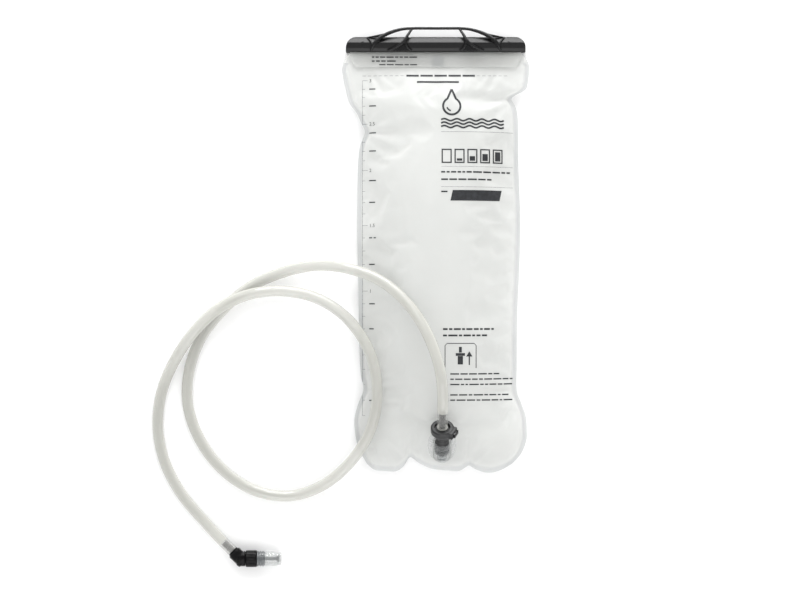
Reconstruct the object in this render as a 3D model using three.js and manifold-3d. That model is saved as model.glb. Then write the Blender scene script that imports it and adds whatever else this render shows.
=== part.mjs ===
// A 3-litre drinking reservoir for a backpack, lying on its back with its drink tube beside it.
// Millimetres. X runs across the bag, +Y towards the carry handle, +Z out of the front of the bag.
// The origin is under the middle of the reservoir, on the surface that it lies on.

import * as THREE from 'three';
import { mergeVertices } from 'three/addons/utils/BufferGeometryUtils.js';
import Module from 'manifold-3d';

const wasm = await Module();
wasm.setup();

const GAP = 0.3;

// ---------------------------------------------------------------- the bag
const FILM = 0.6;
const FILM_PITCH = 1.0;
const MOUTH_Z = 8.5;
const MOUTH_Y = 189.2;
const FOLD_Y = 197.4;
const BEAD_RADIUS = 2.2;
const FRONT_FOLD_RADIUS = BEAD_RADIUS + GAP + FILM / 2;
const BACK_FOLD_RADIUS = FRONT_FOLD_RADIUS + FILM_PITCH;
const FRONT_NECK = 0.6;
const BACK_NECK = FRONT_NECK + FILM_PITCH;
const FLAP_END_Y = 175.3;
const FLAP_RISE = 1.6;
const NECK_START_Y = 184;
const NECK_HALF_WIDTH = 86;
const MOUTH_HALF_WIDTH = 82;
const FLAP_HALF_WIDTHS = [81.5, 77];
const FOLD_HALF_WIDTH = 75;
const FILM_COLUMNS = 12;
const BACK_FLAT_SHARE = 0.51;

// Each station across the bag: y, left edge, right edge, then the heights of the front film's crest,
// of the side weld and of the back film's middle.
const BAG_STATIONS = [
  [-213.3, -52, 66, 5.5, 5.0, 4.5],
  [-205.5, -64, 75, 11, 5.2, 2.0],
  [-196, -70, 82, 15.5, 5.8, 0.5],
  [-182, -76, 87, 20, 6.5, 0.3],
  [-166, -78, 87, 22, 7.5, 0.3],
  [-150, -75, 83, 26.5, 8.5, 0.3],
  [-133, -69.5, 77.7, 31.5, 9.5, 0.3],
  [-95, -73, 77.7, 36.5, 10.5, 0.3],
  [-40, -75, 79.5, 39.5, 11.5, 0.3],
  [20, -75.2, 82, 40, 11.5, 0.3],
  [75, -74, 79.5, 38.5, 11, 0.3],
  [112, -68.5, 78, 34, 10, 0.3],
  [132, -75, 77.5, 29.5, 9.5, 0.3],
  [145, -83, 73, 24.5, 9, 0.5],
  [156, -86.5, 86.5, 18.5, 8.5, 1.5],
  [168, -89.5, 89, 11.5, 8.2, 4.0],
  [177, -89.8, 89.8, 8.4, 8.1, 6.4],
];

// ---------------------------------------------------------------- the slide closure
const SLIDER_HALF_LENGTH = 86;
const SLIDER_TOP_Y = 204.1;
const SLIDER_CORNER = 10.5;
const SLIDER_BORE = BACK_FOLD_RADIUS + FILM / 2 + 0.5;
const SLIDER_SLOT = BACK_NECK + FILM / 2 + 0.4;
const SLIDER_END_WALL = 2.6;
const HANDLE_RADIUS = 1.35;
const HANDLE_RAIL_Y = 212;

// ---------------------------------------------------------------- the outlet and the plug
const PORT_AT = [6, -183.8, 24];
const PORT_ELEVATION = 40;
const FLANGE_AT = [6, -186, 17.6];
const FLANGE_TILT = 14;
const FLANGE_HALF = [15.5, 19];
const FLANGE_THICKNESS = 1.2;
const SOCKET_RADIUS = 8.8;
const SOCKET_RIM = 3;
const SOCKET_DOME = -13.5;
const SOCKET_BORE = 7.5;
const SEAT_TOP = -11;
const SEAT_HOLE = 3;
const CHAMBER_RADIUS = 4.6;
const POPPET_TOP = -15.3;
const RETAINER_TOP = -19.4;
const PLUG_NOSE = 6.8;
const PLUG_STEM = 6.3;
const PLUG_WAIST = 5;
const COLLAR_RADIUS = 11.1;
const COLLAR_FROM = 13.6;
const COLLAR_TO = 21.6;
const COLLAR_RECESS = 6.8;
const BARB_END = 39.5;
const BUTTON_TURN = -25;
const BUTTON_FROM = 10.6;
const BUTTON_TO = 15.2;
const BUTTON_WIDTH = 8;
const BUTTON_HEIGHT = 4.4;
const BUTTON_MID = 17.6;
const BUTTON_COIL = [8.75, 10.75];

// ---------------------------------------------------------------- the drink tube
const TUBE_RADIUS = 5.25;
const TUBE_BORE = 3.5;
const TUBE_SIDES = 10;
const TUBE_STEPS = 50;
const BARB_RADIUS = 2.95;
const BARB_ROOT = 2.55;
const WATERWAY = 1.5;

// The tube's centre line, from the plug over the bag, round one loop and to the bite valve.
const TUBE_ROUTE = [
  [6, -167.8, 37.4],
  [6, -152.4, 50.4],
  [6, -134, 60.8],
  [3, -111, 64.2],
  [-8, -80, 58.5],
  [-26, -52, 48],
  [-52, -29.5, 38.5],
  [-84, -17.5, 28],
  [-116, -14.8, 16.5],
  [-147, -21.3, 8],
  [-177, -34.6, 5.5],
  [-203, -56, 5.4],
  [-224, -82.5, 5.4],
  [-236, -115, 5.4],
  [-237.3, -148, 5.4],
  [-226, -181, 5.4],
  [-204, -210, 5.4],
  [-173, -230, 5.4],
  [-138, -235, 5.5],
  [-105, -223, 7.5],
  [-78, -198, 15],
  [-61, -168, 24.5],
  [-55.8, -134, 29.5],
  [-62, -99, 29],
  [-82, -67.5, 23.5],
  [-111, -46.8, 18.3],
  [-145, -39, 16.6],
  [-179, -42.5, 16.5],
  [-208, -56.5, 16.4],
  [-232, -79.5, 13.6],
  [-251, -108, 7.8],
  [-263, -138, 5.5],
  [-266, -171, 5.4],
  [-259, -204, 5.4],
  [-243, -234, 5.4],
  [-220, -261, 6.4],
  [-203, -279, 8.3],
  [-194.5, -287.3, 8.3],
];

// ---------------------------------------------------------------- the bite valve
const ELBOW_AT = [-194.5, -287.3, 8.3];
const ELBOW_ANGLE = -44.3;
const ELBOW_REACH = 11;
const ELBOW_COLLAR = [2.6, 15.9];
const ELBOW_COLLAR_RADIUS = 6.7;
const ELBOW_NECK_RADIUS = 7.4;
const ELBOW_NECK_TO = 4.6;
const SPIGOT_RADIUS = 4.4;
const SPIGOT_TO = 14;
const SLEEVE = [4.9, 15.7];
const SLEEVE_RADIUS = 8;
const SLEEVE_BORE = 5.1;
const GRIP_DEPTH = 0.4;
const GRIP_COUNT = 12;
const VALVE_RING = [16, 23.4];
const MOUTHPIECE = [23.7, 39.2];

const materials = {
  film: material('#e9ebea', 0.45, 0.35),
  bead: material('#dfe2e1', 0.5, 0.6),
  strap: material('#7d8287', 0.8),
  hardPlastic: material('#303236', 0.45),
  gloss: material('#1b1c1e', 0.25),
  port: material('#d9dcdc', 0.4, 0.5),
  rubber: material('#2a2b2d', 0.7),
  steel: material('#b9bcc0', 0.3, 1, 1),
  silicone: material('#e6e6e2', 0.25, 0.45),
  greyPlastic: material('#8d9193', 0.4),
};

function material(color, roughness, opacity = 1, metalness = 0) {
  const transparent = opacity < 1;
  return new THREE.MeshStandardMaterial({ color, roughness, metalness, opacity, transparent });
}

// ---------------------------------------------------------------- closed bodies

// A geometry with shared vertices, no slivers and its faces pointing out.
function closed(source) {
  const bare = new THREE.BufferGeometry();
  bare.setAttribute('position', source.getAttribute('position').clone());
  if (source.index) bare.setIndex(source.index.clone());
  const merged = mergeVertices(bare, 1e-4);
  const place = merged.getAttribute('position');
  const corners = Array.from(merged.index.array);
  const kept = [];
  let volume = 0;
  const a = new THREE.Vector3();
  const b = new THREE.Vector3();
  const c = new THREE.Vector3();
  for (let i = 0; i < corners.length; i += 3) {
    const [p, q, r] = corners.slice(i, i + 3);
    if (p === q || q === r || r === p) continue;
    kept.push(p, q, r);
    a.fromBufferAttribute(place, p);
    b.fromBufferAttribute(place, q);
    c.fromBufferAttribute(place, r);
    volume += a.dot(b.cross(c));
  }
  if (volume < 0) kept.reverse();
  merged.setIndex(kept);
  return merged;
}

function solid(geometry) {
  const body = closed(geometry);
  return new wasm.Manifold(new wasm.Mesh({
    numProp: 3,
    vertProperties: Float32Array.from(body.getAttribute('position').array),
    triVerts: Uint32Array.from(body.index.array),
  }));
}

function shapeOf(manifold) {
  const mesh = manifold.getMesh();
  const geometry = new THREE.BufferGeometry();
  geometry.setAttribute('position', new THREE.BufferAttribute(mesh.vertProperties, 3));
  geometry.setIndex(new THREE.BufferAttribute(mesh.triVerts, 1));
  return geometry;
}

// A turned body round the Z axis. Each profile point is [radius, height]. A profile that doesn't
// start and end on the axis is a ring, and is closed here.
function turned(profile, sides = 16) {
  const points = profile.map(([radius, height]) => new THREE.Vector2(radius, height));
  const onAxis = profile[0][0] === 0 && profile.at(-1)[0] === 0;
  if (!onAxis) points.push(points[0].clone());
  return closed(new THREE.LatheGeometry(points, sides).rotateX(Math.PI / 2));
}

function ring(inner, outer, from, to, sides) {
  return turned([[inner, from], [outer, from], [outer, to], [inner, to]], sides);
}

function rod(radius, from, to, sides) {
  return turned([[0, from], [radius, from], [radius, to], [0, to]], sides);
}

function oRing(radius, thickness, height) {
  const section = [];
  for (let i = 0; i < 6; i += 1) {
    const turn = i * Math.PI / 3;
    section.push([radius + thickness * Math.cos(turn), height + thickness * Math.sin(turn)]);
  }
  return turned(section);
}

function box(x, y, z) {
  const size = [x[1] - x[0], y[1] - y[0], z[1] - z[0]];
  const middle = [(x[0] + x[1]) / 2, (y[0] + y[1]) / 2, (z[0] + z[1]) / 2];
  return new THREE.BoxGeometry(...size).translate(...middle);
}

class Helix extends THREE.Curve {
  constructor(radius, from, to, turns) {
    super();
    Object.assign(this, { radius, from, to, turns });
  }

  getPoint(t, target = new THREE.Vector3()) {
    const turn = t * this.turns * 2 * Math.PI;
    const height = this.from + (this.to - this.from) * t;
    return target.set(this.radius * Math.cos(turn), this.radius * Math.sin(turn), height);
  }
}

function swept(curve, radius, sides, steps, bore = 0) {
  const section = polygon(radius, sides);
  if (bore > 0) section.holes.push(polygon(bore, sides));
  return closed(new THREE.ExtrudeGeometry(section, { steps, extrudePath: curve }));
}

function polygon(radius, sides) {
  const corners = Array.from({ length: sides }, (_, i) => {
    const turn = i * 2 * Math.PI / sides;
    return new THREE.Vector2(radius * Math.cos(turn), radius * Math.sin(turn));
  });
  return new THREE.Shape(corners);
}

function spring(radius, wire, from, to, turns) {
  return swept(new Helix(radius, from, to, turns), wire, 5, Math.round(turns * 10));
}

function curveOf(points) {
  return new THREE.CatmullRomCurve3(points.map((point) => new THREE.Vector3(...point)));
}

const part = new THREE.Group();

function add(parent, name, geometry, look) {
  const mesh = new THREE.Mesh(geometry, look);
  mesh.name = name;
  parent.add(mesh);
}

// A group whose Z axis points along a direction.
function along(direction, at) {
  const group = new THREE.Group();
  const up = new THREE.Vector3(0, 0, 1);
  group.quaternion.setFromUnitVectors(up, new THREE.Vector3(...direction).normalize());
  group.position.set(...at);
  part.add(group);
  return group;
}

const degrees = THREE.MathUtils.degToRad;

// ---------------------------------------------------------------- the film panels

// One film of the bag as rows of points across it. Each row has a place for both faces.
function filmRows(side) {
  const front = side === 'front';
  const neck = front ? FRONT_NECK : BACK_NECK;
  const radius = front ? FRONT_FOLD_RADIUS : BACK_FOLD_RADIUS;
  const rows = BAG_STATIONS.map(([y, left, right, crest, seam, floor]) => {
    const edge = front ? seam + FILM_PITCH / 2 : seam - FILM_PITCH / 2;
    const middle = front ? Math.max(crest, edge) : Math.min(floor, edge);
    return { y, left, right, edge, middle, out: [0, 1] };
  });
  const flat = (y, z, half, out) => ({ y, left: -half, right: half, edge: z, middle: z, out });
  rows.push(flat(NECK_START_Y, MOUTH_Z - neck, NECK_HALF_WIDTH, [0, 1]));
  rows.push(flat(MOUTH_Y, MOUTH_Z - neck, MOUTH_HALF_WIDTH, [0, 1]));
  const start = Math.asin(neck / radius);
  const sweep = 2 * Math.PI - 2 * start;
  const arcSteps = 8;
  for (let i = 0; i <= arcSteps; i += 1) {
    const turn = Math.PI + start + sweep * i / arcSteps;
    const out = [-Math.cos(turn), -Math.sin(turn)];
    const y = FOLD_Y + radius * Math.cos(turn);
    rows.push(flat(y, MOUTH_Z + radius * Math.sin(turn), FOLD_HALF_WIDTH, out));
  }
  rows.push(flat(MOUTH_Y, MOUTH_Z + neck, MOUTH_HALF_WIDTH, [0, -1]));
  rows.push(flat(MOUTH_Y - 3, MOUTH_Z + neck + FLAP_RISE, FLAP_HALF_WIDTHS[0], [0, -1]));
  rows.push(flat(FLAP_END_Y, MOUTH_Z + neck + FLAP_RISE, FLAP_HALF_WIDTHS[1], [0, -1]));
  return rows;
}

// How full the film is across the bag: 0 at the side welds and 1 in the middle. The back film is
// flat where it lies on the surface.
function fullness(u, side) {
  if (side === 'front') return (1 - Math.abs(u) ** 2.6) ** 0.75;
  const pastFlat = Math.max(0, (Math.abs(u) - BACK_FLAT_SHARE) / (1 - BACK_FLAT_SHARE));
  return (1 - pastFlat ** 3) ** 0.8;
}

function filmPanel(side) {
  const rows = filmRows(side);
  const across = FILM_COLUMNS + 1;
  const places = [];
  for (const face of [1, -1]) {
    for (const row of rows) {
      for (let i = 0; i < across; i += 1) {
        const u = -Math.cos(Math.PI * i / FILM_COLUMNS);
        const x = row.left + (row.right - row.left) * (u + 1) / 2;
        const z = row.edge + (row.middle - row.edge) * fullness(u, side);
        const offset = face * FILM / 2;
        places.push(x, row.y + offset * row.out[0], z + offset * row.out[1]);
      }
    }
  }
  const half = rows.length * across;
  const faces = [];
  const quad = (a, b, c, d) => faces.push(a, b, c, a, c, d);
  for (let j = 0; j + 1 < rows.length; j += 1) {
    for (let i = 0; i + 1 < across; i += 1) {
      const a = j * across + i;
      quad(a, a + 1, a + across + 1, a + across);
      quad(half + a, half + a + across, half + a + across + 1, half + a + 1);
    }
    const left = j * across;
    const right = left + across - 1;
    quad(left, left + across, half + left + across, half + left);
    quad(right, half + right, half + right + across, right + across);
  }
  for (let i = 0; i + 1 < across; i += 1) {
    const last = half - across + i;
    quad(i, half + i, half + i + 1, i + 1);
    quad(last, last + 1, half + last + 1, half + last);
  }
  const geometry = new THREE.BufferGeometry();
  geometry.setAttribute('position', new THREE.Float32BufferAttribute(places, 3));
  geometry.setIndex(faces);
  return closed(geometry);
}

// An oval plate in the plane of the port's flange, larger all round by margin.
function flangePlate(margin, thickness) {
  const oval = new THREE.Shape();
  oval.absellipse(0, 0, FLANGE_HALF[0] + margin, FLANGE_HALF[1] + margin, 0, 2 * Math.PI);
  return new THREE.ExtrudeGeometry(oval, { depth: thickness, bevelEnabled: false, curveSegments: 14 })
    .translate(0, 0, -thickness / 2)
    .rotateX(degrees(FLANGE_TILT))
    .translate(...FLANGE_AT);
}

function buildBag() {
  const hole = solid(flangePlate(GAP, 16));
  add(part, 'front_panel', shapeOf(solid(filmPanel('front')).subtract(hole)), materials.film);
  add(part, 'back_panel', filmPanel('back'), materials.film);
  const bead = rod(BEAD_RADIUS, -FOLD_HALF_WIDTH, FOLD_HALF_WIDTH, 12).rotateY(Math.PI / 2);
  add(part, 'fold_bead', bead.translate(0, FOLD_Y, MOUTH_Z), materials.bead);
  const tab = box([-3.6, 7.9], [176, 185.8], [MOUTH_Z + 0.75, MOUTH_Z + 1.55]);
  add(part, 'mouth_pull_tab', tab, materials.strap);
}

// ---------------------------------------------------------------- the slide closure

// The slider's outside, from its lower lip round its back to its upper lip, as [y, z].
function sliderOutside() {
  return [
    [MOUTH_Y, 2.9], [191.2, 1.1], [196, 0.3], [201, 0.7], [SLIDER_TOP_Y, 4],
    [SLIDER_TOP_Y, 12.4], [198.2, 16.7], [193, 15.7], [MOUTH_Y, 12.7],
  ];
}

// Extrudes a [y, z] outline along X.
function acrossBag(outline, from, to) {
  const shape = new THREE.Shape(outline.map(([y, z]) => new THREE.Vector2(y, z)));
  const turn = new THREE.Matrix4().set(0, 0, 1, from, 1, 0, 0, 0, 0, 1, 0, 0, 0, 0, 0, 1);
  return new THREE.ExtrudeGeometry(shape, { depth: to - from, bevelEnabled: false }).applyMatrix4(turn);
}

function sliderPlan() {
  const end = SLIDER_HALF_LENGTH;
  const corner = SLIDER_CORNER;
  const plan = new THREE.Shape();
  plan.moveTo(-end, MOUTH_Y);
  plan.lineTo(end, MOUTH_Y);
  plan.lineTo(end, SLIDER_TOP_Y - corner);
  plan.absarc(end - corner, SLIDER_TOP_Y - corner, corner, 0, Math.PI / 2);
  plan.lineTo(corner - end, SLIDER_TOP_Y);
  plan.absarc(corner - end, SLIDER_TOP_Y - corner, corner, Math.PI / 2, Math.PI);
  return new THREE.ExtrudeGeometry(plan, { depth: 20, bevelEnabled: false, curveSegments: 6 });
}

function buildSlider() {
  const slotAngle = Math.asin(SLIDER_SLOT / SLIDER_BORE);
  const channel = [[MOUTH_Y, MOUTH_Z + SLIDER_SLOT]];
  for (let i = 0; i <= 10; i += 1) {
    const turn = Math.PI - slotAngle - (2 * Math.PI - 2 * slotAngle) * i / 10;
    channel.push([FOLD_Y + SLIDER_BORE * Math.cos(turn), MOUTH_Z + SLIDER_BORE * Math.sin(turn)]);
  }
  channel.push([MOUTH_Y, MOUTH_Z - SLIDER_SLOT]);
  const end = SLIDER_HALF_LENGTH;
  const bar = solid(acrossBag([...sliderOutside(), ...channel], -end, end));
  const wall = solid(acrossBag(sliderOutside(), end - SLIDER_END_WALL, end));
  const slider = bar.add(wall).intersect(solid(sliderPlan()));
  add(part, 'closure_slider', shapeOf(slider), materials.hardPlastic);
}

function buildHandle() {
  const arch = [
    [-61.5, 190.2, 15.8], [-60.5, 194, 18], [-58.8, 199, 18.6], [-54.5, 205.5, 16.2],
    [-40, 210, 13.4], [-25, HANDLE_RAIL_Y, 12.6], [0, HANDLE_RAIL_Y, 12.6], [25, HANDLE_RAIL_Y, 12.6],
    [41, 210, 13.4], [55, 205.5, 16.2], [59.3, 199, 18.6], [61, 194, 18], [62, 190.2, 15.8],
  ];
  let handle = solid(swept(curveOf(arch), HANDLE_RADIUS, 8, 30));
  for (const side of [-1, 1]) {
    const outerLeg = [
      [21 * side, HANDLE_RAIL_Y - 0.3, 12.6], [24.5 * side, 206.8, 15], [27 * side, 202, 17.8],
      [30 * side, 197, 18.9], [36.5 * side, 193, 17.8], [45 * side, 190.2, 15.8],
    ];
    const innerLeg = [
      [26.8 * side, 202.5, 17.6], [27.6 * side, 198, 18.8], [26.4 * side, 193.5, 18],
      [23 * side, 190.2, 15.8],
    ];
    handle = handle.add(solid(swept(curveOf(outerLeg), HANDLE_RADIUS, 8, 10)));
    handle = handle.add(solid(swept(curveOf(innerLeg), HANDLE_RADIUS, 8, 6)));
  }
  add(part, 'carry_handle', shapeOf(handle), materials.gloss);
}

// ---------------------------------------------------------------- the outlet port

function portAxis() {
  const rise = degrees(PORT_ELEVATION);
  return [0, Math.cos(rise), Math.sin(rise)];
}

// The flange plate seen from the port's own frame.
function flangeInPortFrame(port) {
  port.updateWorldMatrix(true, false);
  return flangePlate(0, FLANGE_THICKNESS).applyMatrix4(port.matrixWorld.clone().invert());
}

function buildPort() {
  const port = along(portAxis(), PORT_AT);
  const outside = [[0, SOCKET_DOME - SOCKET_RADIUS]];
  for (let i = 1; i <= 5; i += 1) {
    const turn = i * Math.PI / 10;
    outside.push([SOCKET_RADIUS * Math.sin(turn), SOCKET_DOME - SOCKET_RADIUS * Math.cos(turn)]);
  }
  outside.push([SOCKET_RADIUS, SOCKET_RIM], [0, SOCKET_RIM]);
  const bore = [
    [0, -30], [CHAMBER_RADIUS, -30], [CHAMBER_RADIUS, SEAT_TOP - 1], [SEAT_HOLE, SEAT_TOP - 1],
    [SEAT_HOLE, SEAT_TOP], [SOCKET_BORE, SEAT_TOP], [SOCKET_BORE, 18], [0, 18],
  ];
  const socket = solid(turned(outside, 24)).add(solid(flangeInPortFrame(port)));
  add(port, 'outlet_port', shapeOf(socket.subtract(solid(turned(bore, 24)))), materials.port);
  const sealTop = SEAT_TOP - 1 - GAP;
  const insert = CHAMBER_RADIUS - GAP;
  add(port, 'port_seal', ring(SEAT_HOLE, insert, sealTop - 0.7, sealTop), materials.rubber);
  const poppet = turned([
    [0, POPPET_TOP - 6], [1.1, POPPET_TOP - 6], [1.1, POPPET_TOP - 1], [4, POPPET_TOP - 1],
    [4, POPPET_TOP - 0.4], [3.4, POPPET_TOP], [0, POPPET_TOP],
  ]);
  add(port, 'port_poppet', poppet, materials.greyPlastic);
  add(port, 'poppet_spring', spring(2.6, 0.35, -17.2, -18.7, 2.5), materials.steel);
  let retainer = solid(ring(1.5, insert, RETAINER_TOP - 1, RETAINER_TOP));
  for (let i = 0; i < 4; i += 1) {
    const turn = i * Math.PI / 2;
    const flow = rod(0.85, RETAINER_TOP - 2, RETAINER_TOP + 1, 8);
    retainer = retainer.subtract(solid(flow.translate(2.9 * Math.cos(turn), 2.9 * Math.sin(turn), 0)));
  }
  add(port, 'poppet_retainer', shapeOf(retainer), materials.greyPlastic);
}

// ---------------------------------------------------------------- the plug on the drink tube

// Barb ridges from low to high along a hose tail, as profile points.
function barbs(from, count, pitch) {
  const points = [];
  for (let i = 0; i < count; i += 1) {
    points.push([BARB_RADIUS, from + i * pitch], [BARB_ROOT, from + (i + 1) * pitch]);
  }
  return points;
}

function buildPlug() {
  const plug = along(portAxis(), PORT_AT);
  const pinEnd = POPPET_TOP + GAP;
  const groove = -6.2;
  const body = turned([
    [WATERWAY, pinEnd], [2.4, pinEnd], [2.4, SEAT_TOP + GAP], [PLUG_NOSE, SEAT_TOP + GAP],
    [PLUG_NOSE, groove - 1], [5.7, groove - 1], [5.7, groove + 1], [PLUG_NOSE, groove + 1],
    [PLUG_NOSE, 2.4], [PLUG_STEM, SOCKET_RIM], [PLUG_STEM, COLLAR_FROM - GAP],
    [PLUG_WAIST, COLLAR_FROM - GAP], [PLUG_WAIST, COLLAR_TO - 1.4], [BARB_ROOT, COLLAR_TO - 1.4],
    [BARB_ROOT, 25.5], ...barbs(25.5, 4, 3.5), [WATERWAY, BARB_END],
  ]);
  add(plug, 'plug_body', body, materials.hardPlastic);
  add(plug, 'plug_o_ring', oRing(6.6, 0.55, groove), materials.rubber);

  const inner = PLUG_WAIST + GAP;
  const collar = solid(turned([
    [inner, COLLAR_FROM], [COLLAR_RADIUS - 0.8, COLLAR_FROM], [COLLAR_RADIUS, COLLAR_FROM + 0.8],
    [COLLAR_RADIUS, COLLAR_TO - 0.8], [COLLAR_RADIUS - 0.8, COLLAR_TO], [COLLAR_RECESS, COLLAR_TO],
    [COLLAR_RECESS, COLLAR_TO - 1], [inner, COLLAR_TO - 1],
  ], 24));
  const push = new THREE.Group();
  push.rotation.z = degrees(BUTTON_TURN);
  plug.add(push);
  const turnedToButton = (geometry) => solid(geometry.rotateZ(degrees(BUTTON_TURN)));
  const side = BUTTON_WIDTH / 2;
  const low = BUTTON_MID - BUTTON_HEIGHT / 2;
  const high = BUTTON_MID + BUTTON_HEIGHT / 2;
  const housing = box([7.4, 13], [-side - 2, side + 2], [COLLAR_FROM, COLLAR_TO - 0.6]);
  const pocket = box([8.2, 20], [-side - GAP, side + GAP], [low - GAP, high + GAP]);
  const shell = collar.add(turnedToButton(housing)).subtract(turnedToButton(pocket));
  add(plug, 'plug_collar', shapeOf(shell), materials.hardPlastic);

  const key = solid(box([BUTTON_FROM, BUTTON_TO], [-side, side], [low, high]));
  const seat = rod(2, 0, 2.6, 12).rotateY(Math.PI / 2);
  const springSeat = solid(seat.translate(BUTTON_FROM - 0.1, 0, BUTTON_MID));
  add(push, 'release_button', shapeOf(key.subtract(springSeat)), materials.gloss);
  const [coilFrom, coilTo] = BUTTON_COIL;
  const coil = spring(1.3, 0.25, coilFrom, coilTo, 3).rotateY(Math.PI / 2).translate(0, 0, BUTTON_MID);
  add(push, 'button_spring', coil, materials.steel);
}

function buildTube() {
  const tube = swept(curveOf(TUBE_ROUTE), TUBE_RADIUS, TUBE_SIDES, TUBE_STEPS, TUBE_BORE);
  add(part, 'drink_tube', tube, materials.silicone);
}

// ---------------------------------------------------------------- the elbow and the bite valve

// A body turned round the Z axis, laid along +X from the elbow's corner.
function layAlongX(geometry) {
  return geometry.rotateY(Math.PI / 2);
}

function buildElbow(corner, direction) {
  const inward = new THREE.Quaternion().setFromUnitVectors(
    new THREE.Vector3(0, 0, 1), new THREE.Vector3(...direction));
  const start = -ELBOW_REACH;
  const tail = turned([
    [0, start - 11], [BARB_ROOT, start - 11], [BARB_RADIUS, start - 8], [BARB_ROOT, start - 7.8],
    [BARB_ROOT, start - 6], [BARB_RADIUS, start - 3], [BARB_ROOT, start - 2.8], [BARB_ROOT, start + GAP],
    [5.2, start + GAP], [5.2, start + ELBOW_COLLAR[0]],
    [ELBOW_COLLAR_RADIUS, start + ELBOW_COLLAR[0]], [ELBOW_COLLAR_RADIUS, start + ELBOW_COLLAR[1]],
    [0, start + ELBOW_COLLAR[1]],
  ]).applyQuaternion(inward);
  const groove = 10.4;
  const head = layAlongX(turned([
    [0, -2], [ELBOW_NECK_RADIUS, -2], [ELBOW_NECK_RADIUS, ELBOW_NECK_TO], [SPIGOT_RADIUS, ELBOW_NECK_TO],
    [SPIGOT_RADIUS, groove - 0.8], [3.5, groove - 0.8], [3.5, groove + 0.8], [SPIGOT_RADIUS, groove + 0.8],
    [SPIGOT_RADIUS, SPIGOT_TO], [0, SPIGOT_TO],
  ]));
  const boreIn = rod(WATERWAY, start - 12, 0, 10).applyQuaternion(inward);
  const boreOut = layAlongX(rod(WATERWAY, 0, SPIGOT_TO + 1, 10));
  const bend = new THREE.SphereGeometry(WATERWAY, 10, 8);
  const pastNeck = solid(box([ELBOW_NECK_TO, 20], [-20, 20], [-20, 20]));
  let elbow = solid(tail).subtract(pastNeck).add(solid(head));
  for (const cut of [boreIn, boreOut, bend]) elbow = elbow.subtract(solid(cut));
  add(corner, 'elbow_body', shapeOf(elbow), materials.gloss);
  add(corner, 'elbow_o_ring', layAlongX(oRing(4.25, 0.45, groove)), materials.rubber);
}

function buildValve(corner) {
  const bore = SLEEVE_BORE;
  const [from, to] = SLEEVE;
  let sleeve = solid(turned([
    [bore, from], [SLEEVE_RADIUS - 0.6, from], [SLEEVE_RADIUS, from + 0.6], [SLEEVE_RADIUS, to - 0.6],
    [SLEEVE_RADIUS - 0.6, to], [bore, to],
  ], 24));
  for (let i = 0; i < GRIP_COUNT; i += 1) {
    const notch = box([SLEEVE_RADIUS - GRIP_DEPTH, 9], [-0.5, 0.5], [from + 1.6, to - 1.6]);
    sleeve = sleeve.subtract(solid(notch.rotateZ((i + 0.5) * 2 * Math.PI / GRIP_COUNT)));
  }
  add(corner, 'shutoff_sleeve', layAlongX(shapeOf(sleeve)), materials.gloss);

  const [ringFrom, ringTo] = VALVE_RING;
  const ribs = [];
  for (let at = ringFrom; at < ringTo - 1.5; at += 2.4) {
    ribs.push([7.5, at], [7.5, at + 1.3], [6.7, at + 1.5], [6.7, at + 2.2]);
  }
  const valveRing = turned([[4.2, ringFrom], ...ribs, [6.7, ringTo], [4.2, ringTo]]);
  add(corner, 'valve_ring', layAlongX(valveRing), materials.greyPlastic);

  const stem = turned([
    [0.9, 14.4], [3.6, 14.4], [3.6, 15.6], [1.7, 15.8], [1.7, 35], [3, 36], [3, 37], [0.9, 37],
  ], 14);
  add(corner, 'valve_stem', layAlongX(stem), materials.greyPlastic);

  const [lipFrom, lipTo] = MOUTHPIECE;
  const cup = solid(turned([
    [4.6, lipFrom], [6.9, lipFrom], [7, lipFrom + 3], [6.7, lipTo - 6], [6.1, lipTo - 1.2],
    [5.4, lipTo], [0, lipTo], [0, lipTo - 1.6], [4.6, lipTo - 1.6], [5.2, lipTo - 5],
  ], 24));
  const slit = solid(box([-0.3, 0.3], [-3.6, 3.6], [lipTo - 3, lipTo + 1]));
  add(corner, 'bite_valve', layAlongX(shapeOf(cup.subtract(slit))), materials.silicone);
}

function buildValveEnd() {
  const angle = degrees(ELBOW_ANGLE);
  const direction = [Math.cos(angle), Math.sin(angle), 0];
  const corner = new THREE.Group();
  corner.position.set(...ELBOW_AT.map((at, i) => at + ELBOW_REACH * direction[i]));
  part.add(corner);
  buildElbow(corner, direction);
  buildValve(corner);
}

buildBag();
buildSlider();
buildHandle();
buildPort();
buildPlug();
buildTube();
buildValveEnd();

export default part;
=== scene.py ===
"""A 3-litre drinking reservoir for a backpack, lying on its back with its drink tube beside it.

Lengths are in millimetres in the tables and are scaled to metres as the meshes are made. X runs across
the bag, +Y towards the carry handle and +Z out of the front of the bag.
"""

import math
import random

import bmesh
import bpy
import numpy as np
from mathutils import Matrix, Vector
from mathutils.bvhtree import BVHTree


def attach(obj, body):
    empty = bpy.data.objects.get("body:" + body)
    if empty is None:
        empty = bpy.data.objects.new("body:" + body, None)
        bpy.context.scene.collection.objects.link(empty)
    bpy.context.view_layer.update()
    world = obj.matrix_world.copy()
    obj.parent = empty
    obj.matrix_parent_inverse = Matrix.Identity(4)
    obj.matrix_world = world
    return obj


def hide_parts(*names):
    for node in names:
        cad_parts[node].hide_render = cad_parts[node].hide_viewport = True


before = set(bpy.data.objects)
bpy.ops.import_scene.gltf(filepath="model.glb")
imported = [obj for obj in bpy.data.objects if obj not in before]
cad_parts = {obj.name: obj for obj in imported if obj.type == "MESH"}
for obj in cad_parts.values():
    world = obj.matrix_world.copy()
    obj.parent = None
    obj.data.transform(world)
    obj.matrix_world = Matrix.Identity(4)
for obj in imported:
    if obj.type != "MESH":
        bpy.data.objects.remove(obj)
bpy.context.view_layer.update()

MM = 0.001

# ---------------------------------------------------------------- camera

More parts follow.
